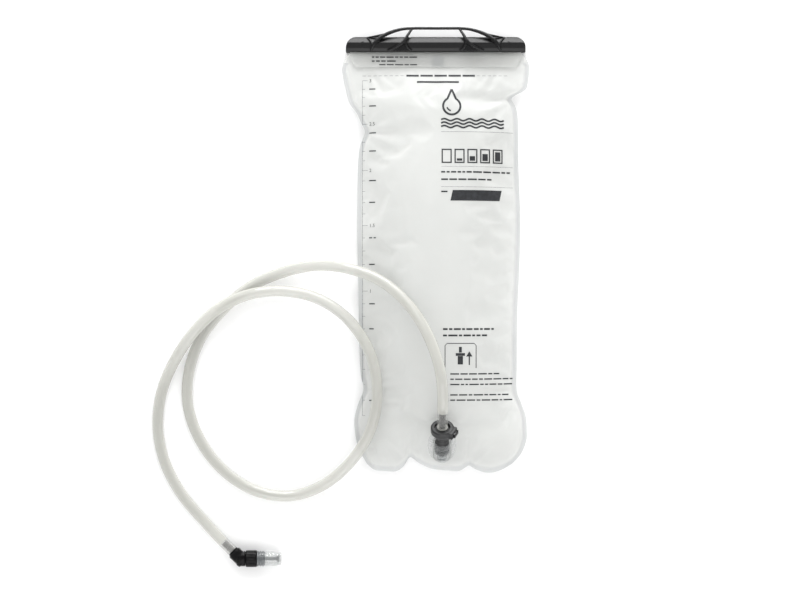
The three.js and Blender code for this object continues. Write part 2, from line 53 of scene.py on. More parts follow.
CAMERA_AT = (-0.0341, -0.0475, 2.6)
VIEW_WIDTH = 0.768


def make_camera():
    data = bpy.data.cameras.new("camera")
    data.lens = data.sensor_width * CAMERA_AT[2] / VIEW_WIDTH
    data.clip_end = 20
    camera = linked("camera", data)
    camera.location = CAMERA_AT
    bpy.context.scene.camera = camera


# ---------------------------------------------------------------- materials


def linear(code):
    """The linear colour of a hex code such as #8d9193."""
    channels = [int(code[i:i + 2], 16) / 255 for i in (1, 3, 5)]
    return tuple(c / 12.92 if c <= 0.04045 else ((c + 0.055) / 1.055) ** 2.4 for c in channels) + (1.0,)


class Shader:
    """A material and its node tree, built a node at a time."""

    def __init__(self, name):
        self.material = bpy.data.materials.new(name)
        self.material.use_nodes = True
        self.tree = self.material.node_tree
        self.tree.nodes.clear()
        self.place = self.add("TexCoord").outputs["Object"]

    def add(self, kind, inputs=None, **settings):
        made = self.tree.nodes.new("ShaderNode" + kind)
        for key, value in settings.items():
            setattr(made, key, value)
        for key, value in (inputs or {}).items():
            if isinstance(value, bpy.types.NodeSocket):
                self.tree.links.new(value, made.inputs[key])
            else:
                made.inputs[key].default_value = value
        return made

    def noise(self, scale, detail=3.0, roughness=0.5):
        wanted = {"Vector": self.place, "Scale": scale, "Detail": detail, "Roughness": roughness}
        return self.add("TexNoise", wanted).outputs["Fac"]

    def ramp(self, factor, low, high, start=0.0, end=1.0):
        """Maps factor from start..end to low..high, each a colour or a number."""
        made = self.add("ValToRGB", {"Fac": factor})
        first, last = made.color_ramp.elements
        first.position, last.position = start, end
        for element, value in ((first, low), (last, high)):
            element.color = value if isinstance(value, tuple) else (value, value, value, 1.0)
        return made.outputs["Color"]

    def bump(self, height, distance, strength=1.0, after=None):
        wanted = {"Height": height, "Distance": distance, "Strength": strength}
        if after is not None:
            wanted["Normal"] = after
        return self.add("Bump", wanted).outputs["Normal"]

    def principled(self, **inputs):
        named = {key.replace("_", " "): value for key, value in inputs.items()}
        return self.add("BsdfPrincipled", named).outputs["BSDF"]

    def mix(self, factor, first, second):
        return self.add("MixShader", {0: factor, 1: first, 2: second}).outputs["Shader"]

    def see_through(self, opacity, solid):
        clear = self.add("BsdfTransparent", {"Color": (1.0, 1.0, 1.0, 1.0)}).outputs["BSDF"]
        return self.mix(opacity, clear, solid)

    def finish(self, surface):
        self.add("OutputMaterial", {"Surface": surface})
        return self.material


def film_material(name, dark, light, core, edge):
    """Milky satin film, clearer face on than at a slant, with a fine pebble and soft clouding."""
    s = Shader(name)
    cloud = s.noise(16.0, 4.0)
    pebble = s.noise(900.0, 2.0)
    soft = s.noise(60.0, 2.0)
    normal = s.bump(soft, 0.0012, 0.5, after=s.bump(pebble, 0.00006, 0.6))
    tone = s.ramp(cloud, linear(dark), linear(light), 0.3, 0.7)
    satin = s.principled(Base_Color=tone, Roughness=0.34, Specular_IOR_Level=0.45, Normal=normal)
    glow = s.add("BsdfTranslucent", {"Color": tone, "Normal": normal}).outputs["BSDF"]
    slant = s.add("LayerWeight", {"Blend": 0.42}).outputs["Facing"]
    opacity = s.ramp(slant, core, edge, 0.05, 0.95)
    return s.finish(s.see_through(opacity, s.mix(0.32, satin, glow)))


def clear_material(name, tint, core, edge, rough, blend=0.5):
    """A clear soft plastic. Its walls are nearly clear face on and tinted at a slant, and their colour
    darkens at the outline as painted shade for the dark edge that refraction gives a clear wall.
    """
    s = Shader(name)
    haze = s.noise(900.0, 3.0)
    drawn = s.noise(22.0, 2.0)
    slant = s.add("LayerWeight", {"Blend": blend}).outputs["Facing"]
    uneven = s.ramp(drawn, tuple(0.94 * c for c in tint[:3]) + (1.0,), tint, 0.3, 0.7)
    # Painted shade: the colour darkens towards the outline, standing in for a refracting wall's dark
    # edge.
    rim = s.ramp(slant, (1.0, 1.0, 1.0, 1.0), (0.5, 0.5, 0.49, 1.0), 0.72, 1.0)
    tone = s.add("VectorMath", {0: uneven, 1: rim}, operation="MULTIPLY").outputs["Vector"]
    normal = s.bump(haze, 0.00001, 0.5)
    gloss = s.ramp(haze, rough * 0.7, rough * 1.4, 0.3, 0.7)
    body = s.principled(Base_Color=tone, Roughness=gloss, Specular_IOR_Level=0.6, Coat_Weight=0.5,
                        Coat_Roughness=0.06, Normal=normal)
    return s.finish(s.see_through(s.ramp(slant, core, edge, 0.0, 1.0), body))


def moulded(name, tone, rough, grain=2600.0, depth=0.00004, spec=0.5, coat=0.0):
    """Moulded plastic: a spark-eroded grain, slightly uneven gloss and faint flow marks."""
    s = Shader(name)
    spark = s.noise(grain, 2.0, 0.6)
    flow = s.noise(38.0, 4.0)
    dark = tuple(0.8 * c for c in tone[:3]) + (1.0,)
    light = tuple(min(1.0, 1.25 * c) for c in tone[:3]) + (1.0,)
    colour = s.ramp(flow, dark, light, 0.3, 0.7)
    gloss = s.ramp(spark, rough * 0.8, min(1.0, rough * 1.25), 0.3, 0.7)
    surface = s.principled(Base_Color=colour, Roughness=gloss, Specular_IOR_Level=spec, Coat_Weight=coat,
                           Coat_Roughness=0.1, Normal=s.bump(spark, depth, 0.7))
    return s.finish(surface)


def port_material():
    """Frosted moulding that lets the dark plug inside show as a soft shadow."""
    s = Shader("frosted_port")
    frost = s.noise(700.0, 3.0)
    tone = s.ramp(s.noise(50.0), linear("#b0b3b3"), linear("#c2c5c5"), 0.3, 0.7)
    normal = s.bump(frost, 0.00003, 0.6)
    body = s.principled(Base_Color=tone, Roughness=0.26, Specular_IOR_Level=0.5, Normal=normal)
    glow = s.add("BsdfTranslucent", {"Color": tone, "Normal": normal}).outputs["BSDF"]
    slant = s.add("LayerWeight", {"Blend": 0.4}).outputs["Facing"]
    return s.finish(s.see_through(s.ramp(slant, 0.02, 0.5), s.mix(0.2, body, glow)))


def webbing_material():
    """Grey plain-weave polyester webbing."""
    s = Shader("webbing")
    fuzz = s.noise(1800.0, 3.0)
    tone = s.ramp(fuzz, linear("#6f7478"), linear("#9ba0a3"), 0.3, 0.7)
    rib = s.add("TexWave", {"Vector": s.place, "Scale": 320.0, "Distortion": 0.6}, bands_direction="Y")
    normal = s.bump(rib.outputs["Fac"], 0.0001, 0.8, after=s.bump(fuzz, 0.00005))
    return s.finish(s.principled(Base_Color=tone, Roughness=0.85, Sheen_Weight=0.3, Normal=normal))


def steel_material():
    s = Shader("spring_steel")
    drawn = s.noise(1200.0, 4.0)
    tone = s.ramp(drawn, linear("#9fa3a7"), linear("#c9ccd0"), 0.3, 0.7)
    rough = s.ramp(drawn, 0.18, 0.38, 0.3, 0.7)
    return s.finish(s.principled(Base_Color=tone, Metallic=1.0, Roughness=rough))


def ink_material():
    """Screen-printed ink: nearly black, a little mottled and thin at places."""
    s = Shader("print_ink")
    mottle = s.noise(260.0, 4.0, 0.6)
    tone = s.ramp(mottle, linear("#252628"), linear("#333538"), 0.35, 0.75)
    return s.finish(s.principled(Base_Color=tone, Roughness=0.55, Specular_IOR_Level=0.3,
                                 Normal=s.bump(mottle, 0.00002)))


def faint_ink_material():
    """The same ink laid thin, as on the volume scale."""
    s = Shader("thin_ink")
    mottle = s.noise(420.0, 4.0, 0.6)
    tone = s.ramp(mottle, linear("#4d5054"), linear("#777a7e"), 0.3, 0.7)
    body = s.principled(Base_Color=tone, Roughness=0.6, Specular_IOR_Level=0.3)
    return s.finish(s.see_through(s.ramp(mottle, 0.35, 0.85, 0.3, 0.7), body))


def floor_material():
    s = Shader("pale_floor")
    tone = s.ramp(s.noise(3.0), (0.93, 0.93, 0.93, 1.0), (0.95, 0.95, 0.95, 1.0))
    return s.finish(s.principled(Base_Color=tone, Roughness=0.9, Specular_IOR_Level=0.1))


LOOKS = {
    "film": film_material("film", "#e4e5e3", "#eeefed", 0.5, 0.94),
    "weld": film_material("weld", "#cfd1d1", "#dadbdb", 0.72, 0.95),
    # The flap look is tinted darker than the film: painted shade for the shade under the slider.
    "flap": film_material("flap", "#d7d8d6", "#e1e2e0", 0.36, 0.9),
    "bead": moulded("bead_vinyl", linear("#dfe2e1"), 0.4, grain=600.0),
    "webbing": webbing_material(),
    "slider": moulded("slider_plastic", linear("#070708"), 0.33, grain=1500.0, depth=0.00009, spec=0.32),
    "gloss": moulded("gloss_plastic", linear("#0c0c0d"), 0.26, grain=900.0, depth=0.00002, spec=0.3),
    "elbow": moulded("elbow_plastic", linear("#0d0d0e"), 0.3, grain=2200.0, spec=0.12),
    "port": port_material(),
    "plug": moulded("plug_plastic", linear("#141516"), 0.4, grain=2000.0, spec=0.6),
    "seal": moulded("seal_rubber", linear("#1d1e20"), 0.6, grain=1800.0, spec=0.35),
    "stem": moulded("stem_plastic", linear("#4a4e50"), 0.35, grain=2200.0, spec=0.35),
    "valve_part": moulded("port_insert", linear("#c3c6c6"), 0.4, grain=2200.0),
    "steel": steel_material(),
    "tube": clear_material("clear_tube", linear("#cdcdc6"), 0.5, 0.85, 0.09, 0.5),
    "bore": clear_material("tube_bore", linear("#d0d0ca"), 0.12, 0.3, 0.2, 0.5),
    "wet": clear_material("barbed_end", linear("#c6c6c3"), 0.02, 0.4, 0.08, 0.5),
    "cloudy": clear_material("cloudy_end", linear("#c2c2bf"), 0.24, 0.6, 0.1, 0.5),
    "flange": clear_material("weld_flange", linear("#e3e5e5"), 0.18, 0.5, 0.3, 0.4),
    "silicone": clear_material("clear_silicone", linear("#c8cbca"), 0.18, 0.86, 0.14),
    "smoke": clear_material("smoke_plastic", linear("#6c7072"), 0.62, 0.94, 0.16),
    "ink": ink_material(),
    "thin_ink": faint_ink_material(),
    "floor": floor_material(),
}

# ---------------------------------------------------------------- meshes


def linked(name, data):
    """An object in the scene that holds the data."""
    made = bpy.data.objects.new(name, data)
    bpy.context.scene.collection.objects.link(made)
    return made


def with_looks(mesh, *looks):
    for look in looks:
        mesh.materials.append(LOOKS[look])
    return mesh


def new_object(name, points, faces, look):
    """A smooth-shaded mesh object from points in metres."""
    mesh = bpy.data.meshes.new(name)
    mesh.from_pydata([tuple(p) for p in points], [], [tuple(f) for f in faces])
    made = linked(name, with_looks(mesh, look))
    outward(made)
    return made


def outward(made, sharp=38):
    """Points the faces out and shades them smooth, with edges over the sharp angle kept crisp."""
    tidy = bmesh.new()
    tidy.from_mesh(made.data)
    bmesh.ops.recalc_face_normals(tidy, faces=tidy.faces)
    tidy.to_mesh(made.data)
    tidy.free()
    made.data.shade_smooth()
    made.data.set_sharp_from_angle(angle=math.radians(sharp))


def applied(made):
    """Replaces an object's mesh with what its modifiers make of it."""
    graph = bpy.context.evaluated_depsgraph_get()
    mesh = bpy.data.meshes.new_from_object(made.evaluated_get(graph))
    made.modifiers.clear()
    made.data = mesh
    return made


def modify(made, kind, **settings):
    modifier = made.modifiers.new(kind.lower(), kind)
    for key, value in settings.items():
        setattr(modifier, key, value)
    return applied(made)


def bevelled(made, width, segments=3, angle=30):
    modify(made, "BEVEL", width=width * MM, segments=segments, limit_method="ANGLE",
           angle_limit=math.radians(angle), use_clamp_overlap=True)
    outward(made)
    return made


def combine(made, others, operation="UNION"):
    """Adds the other objects to made, or cuts them from it."""
    for other in others:
        modify(made, "BOOLEAN", operation=operation, object=other, solver="EXACT")
        bpy.data.objects.remove(other)
    return made


def joined(made, others):
    """Puts the other objects' bodies into made's mesh, for cast() to merge."""
    mesh = bmesh.new()
    for piece in (made, *others):
        mesh.from_mesh(piece.data)
    mesh.to_mesh(made.data)
    mesh.free()
    for other in others:
        bpy.data.objects.remove(other)
    return made


def cast(made, voxel, rounds=4):
    """One skin over all of an object's bodies, with every edge rounded as a moulding's are."""
    modify(made, "REMESH", mode="VOXEL", voxel_size=voxel * MM)
    modify(made, "SMOOTH", factor=0.5, iterations=rounds)
    made.data.shade_smooth()
    return made


def facing(origin, direction, turn=0.0):
    """The matrix of a frame whose Z axis points along direction, at an origin in millimetres."""
    tilt = Vector((0, 0, 1)).rotation_difference(Vector(direction)).to_matrix().to_4x4()
    return Matrix.Translation(Vector(origin) * MM) @ tilt @ Matrix.Rotation(turn, 4, "Z")


def round_spot(radius, height, turn):
    return Vector((radius * math.cos(turn), radius * math.sin(turn), height))


def turned(name, profile, place, look, segments=64, bevel=0.0, spot=round_spot):
    """A body turned round the frame's Z axis. Each profile point is (radius, height).

    spot(radius, height, turn) gives a point of the body, for one that isn't quite round.
    """
    points = []
    faces = []
    rings = []
    for radius, height in profile:
        if radius == 0:
            rings.append([len(points)] * segments)
            points.append(place @ Vector((0, 0, height * MM)))
            continue
        rings.append(list(range(len(points), len(points) + segments)))
        for i in range(segments):
            points.append(place @ (spot(radius, height, 2 * math.pi * i / segments) * MM))
    if profile[0][0] > 0 or profile[-1][0] > 0:
        rings.append(rings[0])
    for low, high in zip(rings, rings[1:]):
        for i in range(segments):
            j = (i + 1) % segments
            corners = [low[i], low[j], high[j], high[i]]
            face = [c for k, c in enumerate(corners) if c not in corners[:k]]
            if len(face) > 2:
                faces.append(face)
    made = new_object(name, points, faces, look)
    return bevelled(made, bevel) if bevel else made


def block(name, x, y, z, place, look, bevel=0.0):
    """A box between the x, y and z ranges of a frame."""
    corners = [place @ (Vector((a, b, c)) * MM) for a in x for b in y for c in z]
    faces = [(0, 1, 3, 2), (4, 6, 7, 5), (0, 4, 5, 1), (2, 3, 7, 6), (0, 2, 6, 4), (1, 5, 7, 3)]
    made = new_object(name, corners, faces, look)
    return bevelled(made, bevel) if bevel else made


def centripetal(points, spans):
    """Points along the centripetal Catmull-Rom curve through points, spans of them between each two."""
    p = [np.array(q, float) for q in points]
    p = [2 * p[0] - p[1]] + p + [2 * p[-1] - p[-2]]
    out = []
    for i in range(1, len(p) - 2):
        a, b, c, d = p[i - 1:i + 3]
        steps = [max(np.linalg.norm(v) ** 0.5, 1e-6) for v in (b - a, c - b, d - c)]
        first = (b - a) / steps[0] - (c - a) / (steps[0] + steps[1]) + (c - b) / steps[1]
        last = (c - b) / steps[1] - (d - b) / (steps[1] + steps[2]) + (d - c) / steps[2]
        first *= steps[1]
        last *= steps[1]
        for k in range(spans):
            t = k / spans
            bend = (-3 * b + 3 * c - 2 * first - last) * t ** 2 + (2 * b - 2 * c + first + last) * t ** 3
            out.append(b + first * t + bend)
    out.append(p[-2])
    return np.array(out)


def evenly(points, spacing):
    """The same line with its points spacing apart."""
    gaps = np.linalg.norm(np.diff(points, axis=0), axis=1)
    along = np.concatenate([[0], np.cumsum(gaps)])
    wanted = np.linspace(0, along[-1], max(2, round(along[-1] / spacing) + 1))
    return np.stack([np.interp(wanted, along, points[:, k]) for k in range(points.shape[1])], 1)


def frames_along(path):
    """A pair of unit directions across the path at each of its points, without twist."""
    heading = np.gradient(path, axis=0)
    heading /= np.linalg.norm(heading, axis=1)[:, None]
    across = np.cross(heading[0], (0.0, 0.0, 1.0) if abs(heading[0][2]) < 0.9 else (1.0, 0.0, 0.0))
    pairs = []
    for way in heading:
        across = across - way * np.dot(across, way)
        across /= np.linalg.norm(across)
        pairs.append((across, np.cross(way, across)))
    return pairs


def ring_rows(path, pairs, radii, sides):
    """Circles of points round a path. radii has one radius, or one (across, up) pair, per point."""
    turns = np.arange(sides) * 2 * math.pi / sides
    rows = []
    for spot, (side, up), radius in zip(path, pairs, radii):
        wide, tall = radius if isinstance(radius, tuple) else (radius, radius)
        circle = np.outer(np.cos(turns), side) * wide + np.outer(np.sin(turns), up) * tall
        rows.append(spot + circle)
    return rows


def strip_faces(first, second, sides):
    """The faces between two rings of points that start at the first and second numbers."""
    faces = []
    for i in range(sides):
        j = (i + 1) % sides
        faces.append((first + i, first + j, second + j, second + i))
    return faces


def swept(name, path, radii, sides, look):
    """A solid rod along a path in millimetres, with flat ends."""
    rows = ring_rows(path, frames_along(path), radii, sides)
    points = np.concatenate(rows) * MM
    faces = []
    for j in range(len(rows) - 1):
        faces += strip_faces(j * sides, (j + 1) * sides, sides)
    last = (len(rows) - 1) * sides
    faces += [tuple(range(sides)), tuple(last + i for i in range(sides))]
    return new_object(name, points, faces, look)


# ---------------------------------------------------------------- the drink tube

TUBE_RADIUS = 5.25
TUBE_BORE = 3.5
TUBE_PITCH = 4.0
OUTER_SIDES = 36
INNER_SIDES = 20

# How many of the tube's spans lie over the plug's tail and over the elbow's.
BARBED_SPANS = (5, 3)

TUBE_ROUTE = [
    (6, -167.8, 37.4), (6, -152.4, 50.4), (6, -134, 60.8), (3, -111, 64.2), (-8, -80, 58.5),
    (-26, -52, 48), (-52, -29.5, 38.5), (-84, -17.5, 28), (-116, -14.8, 16.5), (-147, -21.3, 8),
    (-177, -34.6, 5.5), (-203, -56, 5.4), (-224, -82.5, 5.4), (-236, -115, 5.4), (-237.3, -148, 5.4),
    (-226, -181, 5.4), (-204, -210, 5.4), (-173, -230, 5.4), (-138, -235, 5.5), (-105, -223, 7.5),
    (-78, -198, 15), (-61, -168, 24.5), (-55.8, -134, 29.5), (-62, -99, 29), (-82, -67.5, 23.5),
    (-111, -46.8, 18.3), (-145, -39, 16.6), (-179, -42.5, 16.5), (-208, -56.5, 16.4), (-232, -79.5, 13.6),
    (-251, -108, 7.8), (-263, -138, 5.5), (-266, -171, 5.4), (-259, -204, 5.4), (-243, -234, 5.4),
    (-220, -261, 6.4), (-203, -279, 8.3), (-194.5, -287.3, 8.3),
]


def make_tube():
    """The hollow drink tube and the line that it follows, in metres."""
    path = evenly(centripetal(TUBE_ROUTE, 24), TUBE_PITCH)
    pairs = frames_along(path)
    spans = len(path) - 1
    outer = ring_rows(path, pairs, [TUBE_RADIUS] * len(path), OUTER_SIDES)
    inner = ring_rows(path, pairs, [TUBE_BORE] * len(path), INNER_SIDES)
    points = np.concatenate(outer + inner) * MM
    walls = ((0, OUTER_SIDES), (len(path) * OUTER_SIDES, INNER_SIDES))
    faces = []
    for start, sides in walls:
        for j in range(spans):
            faces += strip_faces(start + j * sides, start + (j + 1) * sides, sides)
    mesh = bmesh.new()
    spots = [mesh.verts.new(p) for p in points]
    for face in faces:
        mesh.faces.new([spots[i] for i in face])
    for row in (0, spans):
        rims = []
        for start, sides in walls:
            ring = spots[start + row * sides:start + (row + 1) * sides]
            rims += [mesh.edges.get(pair) for pair in zip(ring, ring[1:] + ring[:1])]
        bmesh.ops.bridge_loops(mesh, edges=rims)
    data = bpy.data.meshes.new("hose_tube")
    bmesh.ops.recalc_face_normals(mesh, faces=mesh.faces)
    mesh.to_mesh(data)
    mesh.free()
    for i in range(spans * (OUTER_SIDES + INNER_SIDES)):
        within = i - spans * OUTER_SIDES
        span = i // OUTER_SIDES if within < 0 else within // INNER_SIDES
        if span < BARBED_SPANS[0]:
            number = 2
        elif span >= spans - BARBED_SPANS[1]:
            number = 3
        else:
            number = int(within >= 0)
        data.polygons[i].material_index = number
    tube = linked("hose_tube", with_looks(data, "tube", "bore", "wet", "cloudy"))
    outward(tube)
    return tube, path * MM


# ---------------------------------------------------------------- the bag's film

MOUTH_Z = 8.5
MOUTH_Y = 189.2
FOLD_Y = 197.4
BODY_TOP_Y = 177.0
BOTTOM_Y = -204.3
WELD = 4.0
FOLD_HALF_WIDTH = 75
FRONT_NECK = 0.6
FRONT_FOLD_RADIUS = 2.8
FILM_PITCH = 1.0
FLAP_END_Y = 175.3
PANEL_GAP = 0.35
FILM_OVER_FLANGE = 0.15
RIM_OVER_FLANGE = 0.12

# Points of the bag's outline: (y, x) down the two sides, and (x, y) along the bottom.
LEFT_EDGE = [
    (-204.3, -66), (-187.7, -74.4), (-174, -77.2), (-161.8, -77.8), (-148, -74.5), (-133, -69.1),
    (-120, -71.5), (-95, -73), (-37.9, -74), (34, -75.2), (97.9, -72.7), (107, -69.5), (113.8, -67.7),
    (122, -71.5), (132, -76), (139.7, -82.1), (155, -86.5), (173.3, -89.8), (177, -89),
]
RIGHT_EDGE = [
    (-204.3, 73.4), (-195, 81.5), (-181.9, 86.9), (-170, 87.2), (-158.9, 86.2), (-147, 82),
    (-135.8, 77.7), (-110, 77.4), (-66.7, 77.7), (19.7, 80.8), (77.3, 79.1), (132, 77.7), (140, 75),
    (145.1, 71.9), (149, 77), (153.7, 86.2), (163, 88.5), (177, 89.8),
]
BOTTOM_EDGE = [
    (-66, -204.3), (-59, -210), (-47, -211.4), (-37.4, -211.4), (-30, -206), (-24.5, -197.8), (-17, -203),
    (-4.3, -208.8), (10, -210.5), (21.6, -211.4), (27, -209), (31.6, -205.9), (38, -209.5), (50.4, -213),
    (62, -210.5), (73.4, -204.3),
]

# How far the front film's crest stands above the side welds, and the height of the welds, along the bag.
CREST_RISE = [
    (-209, 0.0), (-205.5, 3.8), (-201, 7.2), (-196, 9.7), (-182, 13.5), (-166, 14.5), (-150, 18),
    (-133, 22), (-95, 26), (-40, 28), (20, 28.5), (75, 27.5), (112, 24), (132, 20), (145, 15.5),
    (156, 10), (168, 3.3), (177, 0.0),
]
WELD_HEIGHT = [
    (-213, 5.0), (-196, 5.8), (-166, 7.5), (-133, 9.5), (-95, 10.5), (20, 11.5), (112, 10), (145, 9),
    (177, 8.1),
]
BACK_DROP = [
    (-209, 0.0), (-205.5, 3.2), (-196, 5.3), (-182, 6.2), (-150, 8.2), (-95, 10.2), (20, 11.2),
    (112, 9.7), (145, 8.5), (156, 7.0), (168, 4.2), (177, 1.7),
]

# Where the weld is drawn in, and creases run from it into the film: x, y, direction, length, depth.
PUCKERS = [
    (-66, 113, -8, 46, 2.4), (-66, 116, 24, 34, 1.5), (-67, 109, -38, 40, 1.6),
    (-68, -133, 6, 44, 2.2), (-68, -136, -24, 32, 1.4), (-68, -129, 34, 34, 1.3),
    (70, 145, 190, 42, 2.4), (71, 141, 222, 46, 1.8), (72, 150, 160, 26, 1.2),
    (77, -135, 176, 40, 2.2), (77, -139, 206, 32, 1.4), (77, -131, 148, 34, 1.3),
    (-24.5, -197, 82, 44, 2.6), (-23, -196, 52, 30, 1.4), (-26, -196, 112, 34, 1.5),
    (31.6, -205, 92, 44, 2.2), (33, -204, 62, 34, 1.4), (30, -204, 122, 30, 1.2),
    (-60, 168, -62, 30, 1.2), (58, 170, -116, 34, 1.3), (-20, 172, -84, 30, 1.0), (30, 172, -96, 28, 1.0),
]

PUCKER_SHARE = 0.6

PORT_AT = (6, -183.8, 24)
PORT_AXIS = (0, math.cos(math.radians(40)), math.sin(math.radians(40)))
FLANGE_AT = (6, -186, 17.6)
FLANGE_TILT = math.radians(14)
FLANGE_HALF = (15.5, 19)
FLANGE_HALF_THICKNESS = 0.6
FLANGE_LAP = 1.6


def eased(table, wanted):
    """A smooth curve through a table of (place, value) pairs, read at the wanted places."""
    curve = centripetal(table, 12)
    return np.interp(wanted, curve[:, 0], curve[:, 1])


def flange_offset(x, y):
    """How far points lie from the flange's middle: 1 on its edge."""
    span = (y - FLANGE_AT[1]) / (FLANGE_HALF[1] * math.cos(FLANGE_TILT))
    return np.hypot((x - FLANGE_AT[0]) / FLANGE_HALF[0], span)


def on_flange(y, above):
    return FLANGE_AT[2] + math.tan(FLANGE_TILT) * (y - FLANGE_AT[1]) + above


def smoothstep(low, high, value):
    t = np.clip((value - low) / (high - low), 0, 1)
    return t * t * (3 - 2 * t)


def spaced(length, weld_rows, inner):
    """Distances across a length whose first and last few are in the welds."""
    rim = np.linspace(0, WELD, weld_rows + 1)[:-1]
    return np.concatenate([rim, np.linspace(WELD, length - WELD, inner), (length - rim)[::-1]])


FILM_COLUMNS = 66
FILM_ROWS = 142


def film_plan():
    """The x and y of the film's grid, rows from the bottom weld to the mouth."""
    rim = np.linspace(0, WELD, 3)[:-1]
    heights = np.concatenate([BOTTOM_Y + rim, np.linspace(BOTTOM_Y + WELD, BODY_TOP_Y, FILM_ROWS)])
    left = eased(LEFT_EDGE, heights)
    right = eased(RIGHT_EDGE, heights)
    xs = []
    ys = []
    for row, y in enumerate(heights):
        x = left[row] + spaced(right[row] - left[row], 2, FILM_COLUMNS)
        up = (y - BOTTOM_Y) / (BODY_TOP_Y - BOTTOM_Y)
        scallop = (eased(BOTTOM_EDGE, x) - BOTTOM_Y) * (1 - up) ** 7
        xs.append(x)
        ys.append(y + scallop)
    return np.array(xs), np.array(ys), heights, left, right


def puckered(x, y):
    """The depth of the creases that run into the film from where the weld is drawn in."""
    depth = np.zeros_like(x)
    for at_x, at_y, degrees, length, deep in PUCKERS:
        turn = math.radians(degrees)
        ahead = (x - at_x) * math.cos(turn) + (y - at_y) * math.sin(turn)
        aside = (y - at_y) * math.cos(turn) - (x - at_x) * math.sin(turn)
        width = 1.6 + 0.11 * np.clip(ahead, 0, None)
        fade = smoothstep(-2, 4, ahead) * (1 - smoothstep(0.35 * length, length, ahead))
        groove = np.exp(-(aside / width) ** 2)
        lips = np.exp(-((np.abs(aside) - 2.1 * width) / width) ** 2)
        depth += deep * fade * (groove - 0.55 * lips)
    return PUCKER_SHARE * depth


def rippled(x, y):
    """Gentle swells in the film, a few tenths of a millimetre to a millimetre high."""
    slow = np.sin(x / 17 + 1.3 * np.sin(y / 41)) * np.sin(y / 29 + 0.9 * np.sin(x / 23 + 1.0))
    quick = np.sin((x + 0.7 * y) / 7.3 + 1.1 * np.sin(y / 19)) * np.sin(y / 11 - x / 31)
    return 0.45 * slow + 0.16 * quick


def film_heights(side):
    """The grid of a film panel's points, in millimetres."""
    x, y, heights, left, right = film_plan()
    weld = eased(WELD_HEIGHT, heights)[:, None] * np.ones_like(x)
    middle = ((left + right) / 2)[:, None]
    half = ((right - left) / 2 - WELD)[:, None]
    u = np.clip(np.abs((x - middle) / half), 0, 1)
    shifted = np.broadcast_to(heights[:, None], x.shape)
    if side == "front":
        full = (1 - u ** 2.6) ** 0.75
        rise = eased(CREST_RISE, shifted - WELD)
        inside = smoothstep(0.0, 0.35, full)
        z = weld + rise * full - puckered(x, y) * inside + rippled(x, y) * inside
        near = 1 - smoothstep(1.0, 1.55, flange_offset(x, y))
        z = z + (on_flange(y, FLANGE_HALF_THICKNESS + FILM_OVER_FLANGE) - z) * near
        z = np.maximum(z, weld)
    else:
        past = np.clip((u - 0.51) / 0.49, 0, 1)
        full = (1 - past ** 3) ** 0.8
        drop = eased(BACK_DROP, shifted - WELD)
        z = weld - PANEL_GAP - drop * full
        free = smoothstep(0.0, 0.3, full) * (1 - smoothstep(0.8, 1.0, full))
        z = np.maximum(z + 0.8 * puckered(x, y) * free, PANEL_GAP)
    return np.stack([x, y, z], 2)


SWELL_FRAMES = 26
SWELL_CAP = 3.2


def inflated(grid):
    """The front film after a cloth simulation with air under it, held at its welds, mouth and port.

    The film is cut a little larger than its frame, so it swells and puckers where it is held.
    """
    held = np.zeros(grid.shape[:2], bool)
    held[:3] = held[-4:] = held[:, :3] = held[:, -3:] = True
    held |= flange_offset(grid[:, :, 0], grid[:, :, 1]) < 1.25
    sheet = grid_object("sheet", grid, ["film"])
    sheet.vertex_groups.new(name="held").add([int(i) for i in np.flatnonzero(held)], 1.0, "REPLACE")
    cloth = sheet.modifiers.new("cloth", "CLOTH")
    cloth.point_cache.frame_start = 1
    cloth.point_cache.frame_end = SWELL_FRAMES
    film = cloth.settings
    film.quality = 7
    film.mass = 0.15
    film.tension_stiffness = film.compression_stiffness = 18
    film.shear_stiffness = 9
    film.bending_stiffness = 1.2
    film.tension_damping = film.compression_damping = 12
    film.vertex_group_mass = "held"
    film.use_pressure = True
    film.uniform_pressure_force = 0.6
    film.shrink_min = -0.013
    film.effector_weights.gravity = 0
    scene = bpy.context.scene
    for moment in range(1, SWELL_FRAMES + 1):
        scene.frame_set(moment)
    settled = sheet.evaluated_get(bpy.context.evaluated_depsgraph_get()).data
    flat = np.zeros(len(settled.vertices) * 3)
    settled.vertices.foreach_get("co", flat)
    moved = flat.reshape(grid.shape) / MM - grid
    scene.frame_set(1)
    bpy.data.objects.remove(sheet)
    reach = np.linalg.norm(moved, axis=2, keepdims=True)
    return grid + moved * np.minimum(1, SWELL_CAP / np.maximum(reach, 1e-6))


NECK_ROWS = 6
FOLD_ROWS = 19
WELD_FACES = 2

# The flap down the front of the neck: y, height over the neck, half width.
FLAP_LINE = [
    (192.5, 0, 78), (MOUTH_Y, 0, 82), (187.6, 0.7, 81.8), (186, 1.45, 81.5), (183.5, 1.7, 80.6),
    (181, 1.65, 79.5), (178.3, 1.6, 78.3), (FLAP_END_Y, 1.6, 77),
]


